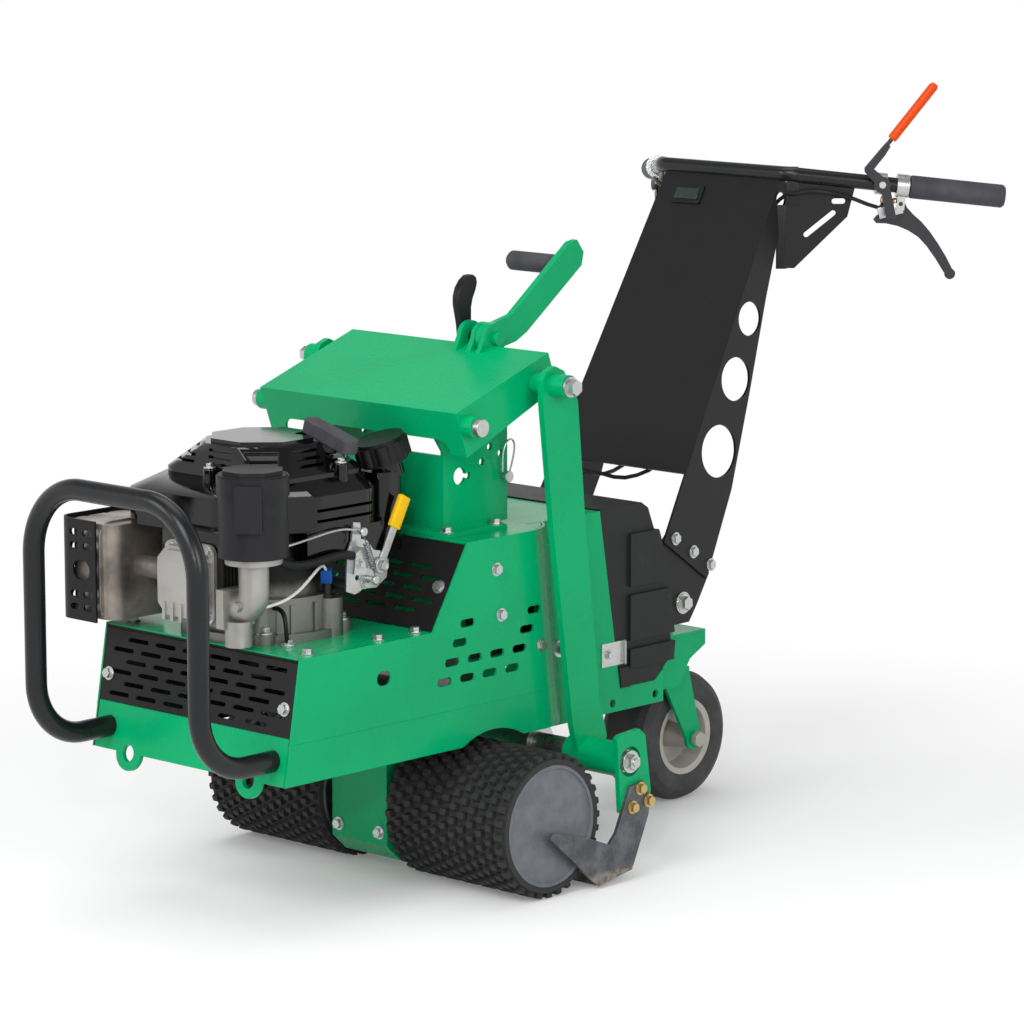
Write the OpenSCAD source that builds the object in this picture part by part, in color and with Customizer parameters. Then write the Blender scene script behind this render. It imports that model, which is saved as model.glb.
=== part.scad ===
// Walk-behind sod cutter: engine at the front, knobbed drive drums under the middle, a U-shaped
// oscillating blade on two long arms hung from a rocking head, a swivel wheel and a handle
// console at the rear. Millimetres; +X is the operator's left, -Y is forward, +Z is up.
// Lengths along Y are taken from the drive axle, and place() centres the machine on its box.

/* [Drive wheels] */
// Outer face of a drive drum from the centre line
wheel_out = 290; // [275:1:292]
// Inner face of a drive drum from the centre line
wheel_in = 67; // [60:1:80]
// Radius over the knobs of the tread
tread_r = 100; // [96:0.5:104]
// Radius of the tread between the knobs
tread_base_r = 92; // [89:0.5:94]
// Radius of the steel drum
drum_r = 84; // [78:0.5:87]
// Wall of the steel drum
drum_wall = 5; // [3:0.5:8]
// Depth of the drum's end plate inside its rim
drum_recess = 3; // [1:0.5:8]
// Thickness of the drum's end plates
drum_plate = 8; // [5:0.5:12]
// Rows of knobs across one tread
knob_rows = 13; // [9:2:15]
// Knobs round one row
knobs_round = 32; // [24:2:36]
// Length of a knob across the tread
knob_len = 10; // [7:0.5:12]
// Radius of the drive axle
axle_r = 12.7; // [10:0.1:15]

/* [Body] */
// Half width over the side panels
body_half = 190; // [182:1:200]
// Half width over the rear side plates
rear_half = 150; // [144:1:158]
// Thickness of the body sheets
sheet = 4; // [3:0.5:6]
// Top of the engine deck above the ground
deck_z = 372; // [362:1:382]
// Thickness of the engine deck
deck_t = 6; // [4:0.5:8]
// Top of the body above the ground
body_top = 486; // [476:1:496]
// Height of the seam between side panel and skirt
seam_z = 260; // [252:1:268]
// Bottom edge of the skirts above the ground
skirt_z = 205; // [202:1:212]
// Bottom edge of the rear side plates above the ground
rail_z = 193; // [188:1:198]
// Front of the body at deck height
front_y = -372; // [-382:1:-362]
// Forward lean of the front face in degrees
front_lean = 9.8; // [6:0.2:13]
// Foot of the slanted firewall
wall_foot = -126; // [-136:1:-118]
// Head of the slanted firewall
wall_head = -58; // [-64:1:-52]
// Back edge of the flat side panel at its top
panel_back = 62; // [56:1:68]
// Backward lean of the panel's back edge in degrees
panel_lean = 6.5; // [5:0.2:9]
// Radius of the roll at the back of a side panel
roll_r = 80; // [60:1:100]
// Wheel arch radius beyond the tread
arch_gap = 21; // [16:1:26]
// Forward offset of the wheel arch
arch_shift = 8; // [0:1:14]
// Length of a side vent slot
slot_len = 28; // [18:1:34]
// Height of a side vent slot
slot_h = 11; // [7:0.5:14]

/* [Front] */
// Slots in one row of the front vent
vent_cols = 6; // [4:1:7]
// Length of a front vent slot
vent_len = 40; // [30:1:44]
// Height of a front vent slot
vent_h = 6; // [4:0.5:8]
// Thickness of the vent plates
vent_t = 3; // [2:0.5:4]
// Height of the front vent along its face
vent_tall = 99; // [92:1:106]
// Thickness of the tow plate
tow_t = 8; // [6:0.5:10]
// Half spacing of the tie-down eyes
eye_x = 118; // [105:1:125]
// Radius of a tie-down eye
eye_r = 24; // [20:0.5:28]
// Radius of the hole in a tie-down eye
eye_hole_r = 11; // [8:0.5:13]
// Half spacing of the bumper legs
bumper_x = 160; // [150:1:165]
// Forward reach of the bumper legs
bumper_y = -523; // [-535:1:-515]
// Height of the bumper's top bar
bumper_top = 585; // [560:1:605]
// Height of the bumper's feet
bumper_foot = 236; // [232:1:240]
// Radius of the bumper tube
bumper_r = 14.5; // [12:0.5:16]
// Bend radius of the bumper's top corners
bumper_bend = 95; // [80:1:110]
// Bend radius of the bumper's feet
foot_bend = 78; // [65:1:90]

/* [Rocking head] */
// Front pivot of the head, behind the axle
pin_y = -58; // [-62:1:-54]
// Front pivot of the head above the ground
pin_z = 644; // [638:1:650]
// Radius of the pivot pin
pin_r = 6; // [5:0.5:7]
// How far the pivot pin stands out from the head
pin_out = 24; // [18:1:30]
// Backward rise of the head's top in degrees
head_lean = 19.6; // [17:0.2:22]
// Half width of the head
head_half = 190; // [184:1:196]
// Length of the head along its top
head_len = 193; // [180:1:205]
// Front face of the head ahead of the pivot
head_nose = 15; // [14:0.5:18]
// Top of the head above the pivot
head_rise = 26; // [22:0.5:30]
// Depth of the head's front skirt
head_skirt = 66; // [58:1:72]
// Depth of the head's side skirts at the back
head_side = 52; // [46:1:60]
// Outer radius of the head's pivot bosses
boss_r = 15; // [13:0.5:17]
// Distance from the front pivot to the arm pivots
arm_reach = 143; // [138:1:148]
// Half width of the pedestal
ped_half = 125; // [115:1:130]
// Front of the pedestal
ped_front = -38; // [-42:1:-34]
// Back of the pedestal
ped_back = 88; // [80:1:94]
// Top of the pedestal at its back
ped_top = 622; // [605:1:626]
// Thickness of the pedestal plates
ped_t = 6; // [4:0.5:8]

/* [Blade] */
// Room between the blade arms and the body or the head, whichever is wider
arm_gap = 24; // [21:0.5:28]
// Thickness of the blade arms
arm_t = 10; // [8:0.5:12]
// Width of the blade arms
arm_w = 66; // [58:1:70]
// How far the arm pivots stand out from the arms
arm_bolt_out = 41; // [34:1:48]
// Eccentric shaft behind the axle
ecc_y = 150; // [146:1:154]
// Eccentric shaft above the ground
ecc_z = 166; // [160:1:172]
// Outer radius of the bearing tubes
tube_r = 24; // [22:0.5:27]
// Bore radius of the bearing tubes
tube_bore = 16; // [14:0.5:18]
// Inner end of the bearing tubes
tube_in = 192; // [186:1:198]
// Outer face of the blade carriers
carrier_out = 298; // [294:1:300]
// Thickness of the blade carriers
carrier_t = 8; // [6:0.5:10]
// Thickness of the blade
blade_t = 6; // [5:0.5:7]
// Front edge of the blade behind the axle
blade_front = 80; // [76:1:86]
// Back edge of the blade behind the axle
blade_back = 148; // [142:1:154]
// Lowest edge of the blade above the ground
blade_z = 4; // [3:0.5:10]
// Rise of the blade from front to back
blade_rise = 11; // [6:0.5:16]
// Tip of the side cutter ahead of the blade's front edge
cutter_reach = 98; // [80:1:104]
// Tip of the side cutter above the ground
cutter_z = 92; // [80:1:96]

/* [Lift lever] */
// Inner face of the lift lever from the centre line
lever_x = 65; // [58:1:74]
// Thickness of the lift lever
lever_t = 10; // [8:0.5:12]
// Width of the lift lever
lever_w = 40; // [34:1:44]
// Length of the lift lever to its grip
lever_len = 178; // [160:1:190]
// Length of the lift lever's grip
lift_grip_len = 100; // [85:1:110]
// Radius of the lift lever's grip
lift_grip_r = 14; // [12:0.5:16]
// Height of the latch lever
latch_len = 84; // [70:1:95]

/* [Rear] */
// Thickness of the rear side plates
rear_t = 5; // [4:0.5:7]
// Back end of the flat rear side plates
rear_end = 386; // [380:1:394]
// Half width of the caster mount
mount_half = 98; // [92:1:104]
// Length over which the caster frame narrows
mount_run = 52; // [46:1:58]
// Back of the caster mount
mount_back = 538; // [530:1:546]
// Top of the caster mount
mount_top = 270; // [264:1:276]
// Front of the rear shroud at its top
shroud_y = 250; // [246:1:256]
// Back of the rear shroud at its top
shroud_back = 352; // [344:1:358]
// Bottom of the rear shroud
shroud_z = 226; // [222:1:232]
// Backward lean of the rear shroud in degrees
shroud_lean = 9.5; // [7:0.5:11]
// Wall of the rear shroud
shroud_t = 4; // [3:0.5:5]

/* [Caster] */
// Swivel axis of the caster behind the axle
swivel_y = 506; // [500:1:510]
// Distance of the caster wheel's axle behind the swivel axis
caster_trail = 50; // [44:1:56]
// Radius of the caster tyre
caster_r = 97; // [93:1:99]
// Half width of the caster tyre
tyre_half = 46; // [40:1:48]
// Radius of the caster rim
rim_r = 57; // [52:1:62]
// Half width over the caster fork
fork_half = 62; // [58:1:66]
// Thickness of the caster fork's legs
fork_t = 6; // [5:0.5:8]
// Radius of the caster wheel's axle bolt
caster_bolt_r = 8; // [6:0.5:9]

/* [Console] */
// Backward lean of the console in degrees
console_lean = 29.2; // [28:0.2:30]
// Front lower corner of the console behind the axle
console_y = 404; // [400:1:408]
// Front lower corner of the console above the ground
console_z = 420; // [414:1:426]
// Length of the console along its face
console_len = 580; // [565:1:590]
// Half width of the console at its foot
console_low = 135; // [130:1:140]
// Half width of the console at its top
console_high = 110; // [106:1:114]
// Thickness of the console plate
console_t = 4; // [3:0.5:5]
// Height along the face at which the console's front plate starts
console_open = 106; // [90:1:120]
// Isolator bolt of the console behind the axle
isolator_y = 446; // [442:1:452]
// Isolator bolt of the console above the ground
isolator_z = 326; // [320:1:332]
// Radius of the console's rubber isolators
isolator_r = 17; // [14:0.5:19]

/* [Handle] */
// Radius of the handlebar tube
bar_r = 11.1; // [10:0.1:12.5]
// Sideways reach of a grip's end
grip_x = 345; // [325:1:360]
// Backward reach of a grip's end
grip_y = 916; // [890:1:930]
// Height of a grip's end
grip_z = 894; // [880:1:905]
// Length of a grip
grip_len = 140; // [120:1:150]
// Radius of a grip
grip_r = 17; // [15:0.5:19]
// Length of the orange lever grip
orange_len = 102; // [85:1:112]
// Distance from a grip to the middle of the hand lever's clamp
clamp_gap = 11; // [10:0.5:16]
// Distance from the hand lever's clamp to the drive lever's pivot
drive_gap = 32; // [28:1:36]

/* [Engine] */
// Crankshaft axis to the left of the centre line
eng_x = 10; // [4:1:14]
// Crankshaft axis behind the drive axle
eng_y = -262; // [-266:1:-258]
// Radius of the engine's base flange
base_r = 104; // [98:1:108]
// Radius of the crankcase
case_r = 94; // [88:1:96]
// Height of the crankcase
case_h = 58; // [52:1:66]
// Half width of the cylinder fins
fin_half = 58; // [52:1:60]
// Cooling fins on the cylinder
fin_count = 7; // [5:1:8]
// Height of the cylinder's axis above the deck
bore_z = 84; // [80:1:88]
// Radius of the crankshaft
crank_r = 12.7; // [11:0.1:14]
// Radius of the air cleaner
cleaner_r = 48; // [42:1:49]
// Height of the air cleaner
cleaner_h = 115; // [100:1:120]
// Radius of the fuel cap
cap_r = 38; // [34:1:41]
// Radius of the engine pulley
pulley_r = 40; // [34:1:44]
// Radius of the transaxle's input pulley
input_r = 56; // [48:1:60]

/* [Fits] */
// Running clearance of shafts in their bores
run = 0.05; // [0.02:0.01:0.09]
// Clearance between pieces that move past each other
gap = 0.6; // [0.4:0.1:1.2]

/* [Hidden] */
$fn = 48;
green = [0, 0.62, 0.345];
black = [0.09, 0.09, 0.1];
zinc = [0.76, 0.78, 0.8];
steel = [0.45, 0.46, 0.48];
alloy = [0.66, 0.66, 0.65];
rubber = [0.12, 0.12, 0.13];
axle_z = tread_r;
tread_w = wheel_out - wheel_in;
knob_pitch = tread_w / knob_rows;
inside = body_half - sheet;
arm_out = max(body_half, head_half) + arm_gap + arm_t;
arm_bolt_end = arm_out + arm_bolt_out;
pin_end = head_half + pin_out;
handle_root_y = console_y + console_len * sin(console_lean) + 4;
handle_root_z = console_z + console_len * cos(console_lean) + 2;
handle_root = [console_high + 13, handle_root_y, handle_root_z];
handle_corner = handle_root[0];
handle_end = [grip_x, grip_y, grip_z];
handle_span = handle_end - handle_root;
handle_len = norm(handle_span);
handle_dir = handle_span / handle_len;
clamp_at = handle_len - grip_len - clamp_gap;
drive_at = clamp_at - drive_gap;
handle_yaw = atan2(handle_dir[1], handle_dir[0]);
handle_pitch = asin(-handle_dir[2]);
mid_y = (bumper_y - bumper_r + grip_y + grip_r * sqrt(1 - handle_dir[1] * handle_dir[1])) / 2;
arm_pivot_y = pin_y + arm_reach * cos(head_lean - 1.3);
arm_pivot_z = pin_z + arm_reach * sin(head_lean - 1.3);
lever_pivot_u = 188;
lever_pivot_w = 32;
lever_rise = 9.8;
latch_x = lever_x - 36;
blade_holes = [[14, -39], [31, -59], [-2, -63]];
arm_lean = atan2(ecc_y - arm_pivot_y - 10, arm_pivot_z - ecc_z);
belt_z = 318;
cowl_z = 146;
cowl_top = 238;
recoil_z = 212;
bracket_x = 108;
muffler_x = -182;
muffler_y = -100;
cleaner_x = 101;
cleaner_y = -117;
cleaner_z = 128;
input_y = -48;
console_taper = atan2(console_low - console_high, console_len);
caster_y = swivel_y + caster_trail;
caster_z = caster_r;
fork_top = caster_r * 2 + 14;
bearing_top = fork_top + 12;

// Moves the machine so that its box is centred on the origin
module place() { translate([0, -mid_y, 0]) children(); }
// The child and its mirror image on the other side of the centre line
module both() { children(); mirror([1, 0, 0]) children(); }
// An outline in Y and Z, from x over a thickness t towards +X
module plate_x(x, t) { translate([x, 0, 0]) rotate([90, 0, 90]) linear_extrude(t) children(); }
// An outline in X and Z, from y over a thickness t towards +Y
module plate_y(y, t) { translate([0, y + t, 0]) rotate([90, 0, 0]) linear_extrude(t) children(); }
// A round bar along X from one end to the other
module bar_x(x0, x1, r) { translate([x0, 0, 0]) rotate([0, 90, 0]) cylinder(r = r, h = x1 - x0); }
// An outline with rounded corners, centred on the origin
module round_rect(w, h, r) {
    square([w - 2 * r, h], center = true);
    square([w, h - 2 * r], center = true);
    for (x = [-1, 1], y = [-1, 1]) translate([x * (w / 2 - r), y * (h / 2 - r)]) circle(r);
}
// A slot along the first axis, centred on the origin
module slot(len, h) {
    square([len - h, h], center = true);
    for (x = [-1, 1]) translate([x * (len - h) / 2, 0]) circle(h / 2);
}
// A hexagon bolt head on its washer, standing up from the origin
module bolt(r, h) {
    cylinder(r = r * 1.35, h = 1.6);
    translate([0, 0, 1.6]) cylinder(r = r, h = h, $fn = 6);
}
// A box with rounded upright edges
module block(w, d, h, r) { linear_extrude(h) round_rect(w, d, r); }
// The frame of the leaning front face, its origin on the deck's front edge
module on_front() { translate([0, front_y, deck_z]) rotate([-front_lean, 0, 0]) children(); }
// The frame of the head, its origin on the front pivot
module on_head() { translate([0, pin_y, pin_z]) rotate([head_lean, 0, 0]) children(); }
// The frame of the console's face, its origin at the foot
module on_console() { translate([0, console_y, console_z]) rotate([-console_lean, 0, 0]) children(); }
// The frame of the engine, its origin where the crankshaft meets the deck
module on_engine() { translate([eng_x, eng_y, deck_z]) children(); }
// The frame of the left handle arm, its first axis along the arm
module on_handle(along = 0) {
    translate(handle_root + handle_dir * along) rotate([0, handle_pitch, handle_yaw]) children();
}

// Body
function front_at(z) = front_y - (deck_z - z) * tan(front_lean);
function roll_end(z) = back_at(z) + sqrt(pow(roll_r, 2) - pow(roll_r - body_half + rear_half, 2));
function back_at(z) = panel_back + (body_top - z) * tan(panel_lean);
// The wall of one side, seen from above: flat, then rolled inwards to the rear plate
module wall_section() {
    drop = body_half - rear_half;
    inner = roll_r - sheet;
    out_turn = acos(1 - drop / roll_r);
    in_turn = acos((roll_r - drop) / inner);
    steps = 12;
    polygon(concat([[inner, -2 * body_top], [roll_r, -2 * body_top]],
        [for (k = [0 : steps]) roll_r * [cos(out_turn * k / steps), sin(out_turn * k / steps)]],
        [for (k = [steps : -1 : 0]) inner * [cos(in_turn * k / steps), sin(in_turn * k / steps)]]));
}
// The part of the wall inside the first outline, without the second
module side_wall() {
    difference() {
        intersection() {
            translate([body_half - roll_r, panel_back, body_top]) rotate([panel_lean, 0, 0])
                translate([0, 0, -2 * body_top]) linear_extrude(4 * body_top) wall_section();
            plate_x(0, 2 * body_half) children(0);
        }
        plate_x(0, 2 * body_half) children(1);
    }
}
module side_slots() {
    pitch = slot_len + 16;
    rise = slot_h + 14;
    step = 15;
    first_y = -104;
    first_z = 301;
    for (row = [0 : 3], i = [0 : 3])
        if (row < 2 || i == 0 || i == 3)
            translate([first_y + i * pitch + row * step, first_z + row * rise]) slot(slot_len, slot_h);
}
module side_panels() color(green) place() both() side_wall() {
    polygon([[front_at(seam_z), seam_z], [front_y, deck_z], [wall_foot, deck_z],
        [wall_head, body_top], [rear_end, body_top], [rear_end, seam_z]]);
    union() {
        side_slots();
        translate([-219, 324]) slot(26, 20);
    }
}
module side_skirts() color(green) place() both() side_wall() {
    polygon([[front_at(skirt_z), skirt_z], [front_at(seam_z), seam_z],
        [rear_end, seam_z], [rear_end, skirt_z]]);
    translate([-arch_shift, axle_z]) circle(tread_r + arch_gap);
}
module engine_deck() color(green) place() difference() {
    translate([-inside, front_y, deck_z - deck_t])
        cube([2 * inside, wall_foot - front_y, deck_t]);
    translate([eng_x, eng_y, deck_z - deck_t - 1]) cylinder(r = crank_r + 8, h = deck_t + 2);
}
module vent_rows(cols, len, rows, pitch_z) {
    pitch = len + 14;
    for (r = [0 : rows - 1], i = [0 : cols - 1])
        translate([(i - (cols - 1) / 2) * pitch + (r % 2 - 0.5) * pitch / 2, r * pitch_z])
            slot(len, vent_h);
}
module front_vent() color(black) place() on_front()
    translate([0, 0, -deck_t - vent_tall]) plate_y(0, vent_t) difference() {
        translate([-inside, 0]) square([2 * inside, vent_tall]);
        translate([0, 12]) vent_rows(vent_cols, vent_len, 6, (vent_tall - 24) / 5);
    }
module tow_plate() color(green) place() on_front()
    plate_y(0, tow_t) difference() {
        union() {
            foot = (deck_z - skirt_z) / cos(front_lean);
            head = deck_t + vent_tall;
            translate([-inside, -foot]) square([2 * inside, foot - head]);
            for (x = [-eye_x, eye_x]) translate([x, -foot]) circle(eye_r);
        }
        for (x = [-eye_x, eye_x])
            translate([x, -(deck_z - skirt_z) / cos(front_lean)]) circle(eye_hole_r);
    }
module firewall_vent() color(black) place() {
    lean = atan2(wall_head - wall_foot, body_top - deck_z);
    tall = (body_top - deck_z) / cos(lean) - sheet;
    translate([0, wall_foot, deck_z]) rotate([-lean, 0, 0]) plate_y(0, vent_t) difference() {
        translate([-inside, 2]) square([2 * inside, tall - 2]);
        translate([0, 26]) vent_rows(vent_cols, vent_len, 5, 16);
    }
}
module body_top_plate() color(green) place() difference() {
    tail = rear_half - rear_t;
    bend = roll_r - sheet - gap;
    turn = acos((roll_r - body_half + rear_half) / bend);
    edge = panel_back + 43;
    both() translate([0, 0, body_top - sheet]) linear_extrude(sheet) polygon(concat(
        [[-1, wall_head], [inside, wall_head], [inside, panel_back]],
        [for (k = [1 : 12]) [body_half - roll_r + bend * cos(turn * k / 12),
            panel_back + bend * sin(turn * k / 12)]],
        [[rear_half, edge], [tail, edge], [tail, shroud_y - 1], [-1, shroud_y - 1]]));
    translate([0, (ped_front + ped_back) / 2, body_top - sheet - 1]) cylinder(r = 30, h = sheet + 2);
}

// Rocking head and its stand
module pedestal() color(green) place() {
    side_top = ped_top;
    both() plate_x(ped_half - ped_t, ped_t) difference() {
        union() {
            polygon([[ped_front, body_top + ped_t], [ped_front, pin_z - 44],
                [pin_y - pin_r, pin_z - 6], [pin_y, pin_z + pin_r + 3], [pin_y + 30, pin_z + 6],
                [ped_back, side_top], [ped_back, body_top + ped_t]]);
            translate([pin_y, pin_z]) circle(head_nose - sheet - gap);
        }
        translate([pin_y, pin_z]) circle(pin_r + run);
        translate([-6, 563]) circle(12);
        for (p = [[10, 562], [37, 578], [53, 597], [74, 586], [78, 554]]) translate(p) circle(5);
    }
    plate_y(ped_front, ped_t)
        translate([-ped_half + ped_t, body_top + ped_t])
            square([2 * (ped_half - ped_t), pin_z - 50 - body_top - ped_t]);
    translate([-ped_half - 26, wall_head + 2, body_top])
        cube([2 * (ped_half + 26), panel_back - wall_head - 4, ped_t]);
}
module depth_pin() color(zinc) place() translate([0, 78, 554]) {
    bar_x(ped_half - ped_t - 12, ped_half + 10, 5 - run);
    bar_x(ped_half + 10, ped_half + 14, 8);
}
module hood() color(green) place() difference() {
    union() {
        on_head() {
            translate([-head_half, -head_nose, head_rise - sheet])
                cube([2 * head_half, head_len, sheet]);
            plate_y(-head_nose, sheet) difference() {
                translate([-head_half, head_rise - head_skirt])
                    square([2 * head_half, head_skirt - sheet]);
                translate([0, head_rise - head_skirt - 14]) round_rect(2 * head_half - 60, 72, 20);
            }
            both() plate_x(head_half - sheet, sheet)
                polygon([[sheet - head_nose, head_rise - sheet], [head_len - head_nose, head_rise - sheet],
                    [head_len - head_nose, head_rise - head_side],
                    [sheet - head_nose, head_rise - head_skirt]]);
            for (ear = [[lever_x - gap - 8, 8], [lever_x + lever_t + gap, 8], [latch_x + gap, 7]])
            plate_x(ear[0], 8) difference() {
                union() {
                    translate([lever_pivot_u, lever_pivot_w]) circle(22);
                    polygon([[head_len - head_nose - 26, head_rise], [head_len - head_nose, head_rise - sheet],
                        [lever_pivot_u + 16, lever_pivot_w - 15], [lever_pivot_u - 8, lever_pivot_w + 20]]);
                    translate([head_len - head_nose, head_rise - 30]) square([16, 26]);
                }
                translate([lever_pivot_u, lever_pivot_w]) circle(ear[1] + run);
                translate([head_len - head_nose - 70, head_rise - 60]) square([70, 60]);
            }
            translate([latch_x + gap, head_len - head_nose, head_rise - 30])
                cube([lever_x + lever_t + 8 - latch_x, sheet, 14]);
        }
        translate([0, pin_y, pin_z]) both() bar_x(head_half - sheet, pin_end - 6, boss_r);
        translate([0, arm_pivot_y, arm_pivot_z])
            both() bar_x(head_half - sheet, arm_out - arm_t - 13 - gap, boss_r);
    }
    translate([0, pin_y, pin_z]) bar_x(-pin_end, pin_end, pin_r + run);
    translate([0, arm_pivot_y, arm_pivot_z]) bar_x(-arm_bolt_end, arm_bolt_end, 10 + run);
    on_head() translate([lever_x - gap, lever_pivot_u - 24, head_rise - sheet - 1])
        cube([lever_t + 2 * gap, 40, sheet + 20]);
}
module hood_pivot() color(zinc) place() translate([0, pin_y, pin_z]) {
    bar_x(-pin_end, pin_end, pin_r);
    both() bar_x(pin_end - 6, pin_end + 5, 12);
}
module lift_lever() color(green) place() on_head() translate([0, lever_pivot_u, lever_pivot_w]) {
    bolt_r = 8;
    half = lever_w / 2;
    plate_x(lever_x, lever_t) rotate(lever_rise) {
        circle(half + 2);
        polygon([[0, half], [50, half - 15], [lever_len + 22, half + 6], [lever_len + 36, half + 1],
            [lever_len + 39, -2], [lever_len + 26, -half + 4], [64, -half - 14], [40, -half - 13],
            [0, -half]]);
    }
    bar_x(lever_x - gap - 14, lever_x + lever_t + gap + 14, bolt_r);
    bar_x(lever_x + lever_t + gap + 8.4, lever_x + lever_t + gap + 17, 9.5);
}
module lift_grip() color(rubber) place() on_head() translate([0, lever_pivot_u, lever_pivot_w])
    rotate([lever_rise, 0, 0]) translate([0, lever_len, 1]) rotate([0, -90, 0])
        translate([0, 0, -lever_x]) rotate_extrude()
            polygon([[0, 0], [lift_grip_r, 0], [lift_grip_r, lift_grip_len - 6],
                [lift_grip_r - 5, lift_grip_len], [0, lift_grip_len]]);
module latch_lever() color(black) place() on_head() translate([0, lever_pivot_u, lever_pivot_w]) {
    shape = [[-9, 0], [-11, 0.2], [-14, 0.36], [-17, 0.52], [-17, 0.66], [-13, 0.8], [-5, 0.92], [4, 0.99],
        [13, 1], [19, 0.95], [21, 0.86], [18, 0.74], [12, 0.6], [9, 0.46], [9, 0.3], [9, 0]];
    plate_x(latch_x - 12, 12) rotate(-head_lean) {
        circle(9.5);
        polygon([for (p = shape) [p[0], p[1] * latch_len]]);
    }
    bar_x(latch_x - 12, latch_x + gap + 10, 7);
}

// Blade, its arms and its eccentric shaft
module arm_pivots() color(zinc) place() translate([0, arm_pivot_y, arm_pivot_z]) both() {
    bar_x(head_half - 18, arm_bolt_end - 14, 10);
    bar_x(arm_bolt_end - 14, arm_bolt_end - 11, 14);
    rotate([0, 90, 0]) translate([0, 0, arm_bolt_end - 11]) cylinder(r = 11, h = 11, $fn = 6);
}
module blade_arms() color(green) place() both() difference() {
    union() {
        plate_x(arm_out - arm_t, arm_t) {
            top = [arm_pivot_y, arm_pivot_z];
            low = [ecc_y, ecc_z];
            polygon([top + [-24, 8], top + [-24, -19], top + [-5, -184], low + [-arm_w * 0.54, 43],
                low + [-20, -10], low + [20, -10], low + [34, 20], low + [arm_w * 0.46 - 12, 77],
                top + [arm_w - 5, -192], top + [arm_w - 20, -26], top + [18, 18], top + [0, 26],
                top + [-16, 20]]);
        }
        translate([0, arm_pivot_y, arm_pivot_z])
            bar_x(arm_out - arm_t - 13, arm_bolt_end - 14 - gap, boss_r + 1);
        translate([0, ecc_y, ecc_z]) bar_x(tube_in, carrier_out, tube_r);
        plate_x(carrier_out - carrier_t, carrier_t) polygon([[ecc_y - 19, ecc_z - 70],
            [ecc_y - 27, ecc_z + 36], [ecc_y - 20, ecc_z + 40], [ecc_y + 19, ecc_z + 43],
            [ecc_y + 31, ecc_z + 33], [ecc_y + 43, ecc_z - 48], [ecc_y + 34, ecc_z - 68]]);
    }
    translate([0, arm_pivot_y, arm_pivot_z]) bar_x(0, arm_bolt_end + 1, 10 + run);
    translate([0, ecc_y, ecc_z]) bar_x(0, carrier_out + 1, tube_bore + run);
    translate([0, ecc_y, ecc_z]) bar_x(carrier_out - carrier_t, carrier_out + 1, tube_r - 3);
    for (p = blade_holes) translate([0, ecc_y + p[0], ecc_z + p[1]])
        bar_x(carrier_out - carrier_t - 1, carrier_out + 1, 4.5);
}
module blade() color(steel) place() {
    leg_in = carrier_out;
    both() plate_x(leg_in, blade_t) difference() {
        polygon([[blade_front, blade_z], [blade_front - cutter_reach, cutter_z - 4],
            [blade_front - cutter_reach + 7, cutter_z + 2], [blade_front - 8, cutter_z - 22],
            [blade_front + 22, cutter_z - 34], [blade_front + 36, cutter_z - 20],
            [ecc_y - 6, ecc_z - 34], [ecc_y + 22, ecc_z - 30], [ecc_y + 36, ecc_z - 56],
            [ecc_y + 31, ecc_z - 80], [blade_back, blade_z + blade_rise]]);
        for (p = blade_holes) translate([ecc_y, ecc_z] + p) circle(4.5);
    }
    plate_x(-leg_in, 2 * leg_in) polygon([[blade_front, blade_z],
        [blade_front + 14, blade_z + blade_t + 2], [blade_back, blade_z + blade_rise + blade_t],
        [blade_back, blade_z + blade_rise]]);
}
module blade_bolts() color([0.72, 0.6, 0.36]) place() both()
    for (p = blade_holes) translate([0, ecc_y + p[0], ecc_z + p[1]]) {
        translate([carrier_out + blade_t, 0, 0]) rotate([0, 90, 0]) bolt(7, 6);
        bar_x(carrier_out - carrier_t, carrier_out + blade_t, 4.5 - run);
    }
module eccentric_shaft() color(zinc) place() translate([0, ecc_y, ecc_z]) {
    seat = carrier_out - carrier_t;
    bar_x(-seat, seat, tube_bore);
    both() bar_x(seat, carrier_out - 1, 11);
    both() bar_x(carrier_out - 1, carrier_out + 2, tube_bore);
    both() rotate([0, 90, 0]) translate([0, 0, carrier_out + 2]) cylinder(r = 11, h = 8, $fn = 6);
    both() bar_x(carrier_out + 10, carrier_out + 13, 6);
    both() translate([0, 3, 0]) bar_x(rear_half - 60, rear_half - 24, tube_bore + 12);
}

// Drive wheels and driveline
function knob_ring(n, shift) = [for (k = [0 : n - 1], s = [0 : 3])
    let (a = -90 + 360 * (k + shift) / n,
        half = 180 / n * (s == 0 || s == 3 ? 0.66 : 0.4),
        r = s == 0 || s == 3 ? tread_base_r - 2 : tread_r / cos(180 / n * 0.4),
        at = a + (s < 2 ? -half : half))
    [r * cos(at), r * sin(at)]];
module wheel_treads() color(rubber) place() translate([0, 0, axle_z]) both() difference() {
    union() {
        bar_x(wheel_in, wheel_out, tread_base_r);
        for (i = [0 : knob_rows - 1])
            plate_x(wheel_in + (i + 0.5) * knob_pitch - knob_len / 2, knob_len)
                polygon(knob_ring(knobs_round, i % 2 / 2));
    }
    bar_x(wheel_in - 1, wheel_out + 1, drum_r + run);
}
module drive_drums() color(steel) place() translate([0, 0, axle_z]) {
    bar_x(-wheel_out + drum_recess + 1, wheel_out - drum_recess - 1, axle_r);
    both() difference() {
        bar_x(wheel_in, wheel_out, drum_r);
        bar_x(wheel_in - 1, wheel_in + 22, drum_r - drum_wall);
        bar_x(wheel_in + 22 + drum_plate, wheel_out - drum_recess - drum_plate, drum_r - drum_wall);
        bar_x(wheel_out - drum_recess, wheel_out + 1, drum_r - drum_wall);
        for (a = [45 : 90 : 315]) rotate([a, 0, 0]) translate([0, drum_r * 0.55, 0])
            bar_x(wheel_in + 20, wheel_in + 24 + drum_plate, 14);
    }
}
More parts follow.
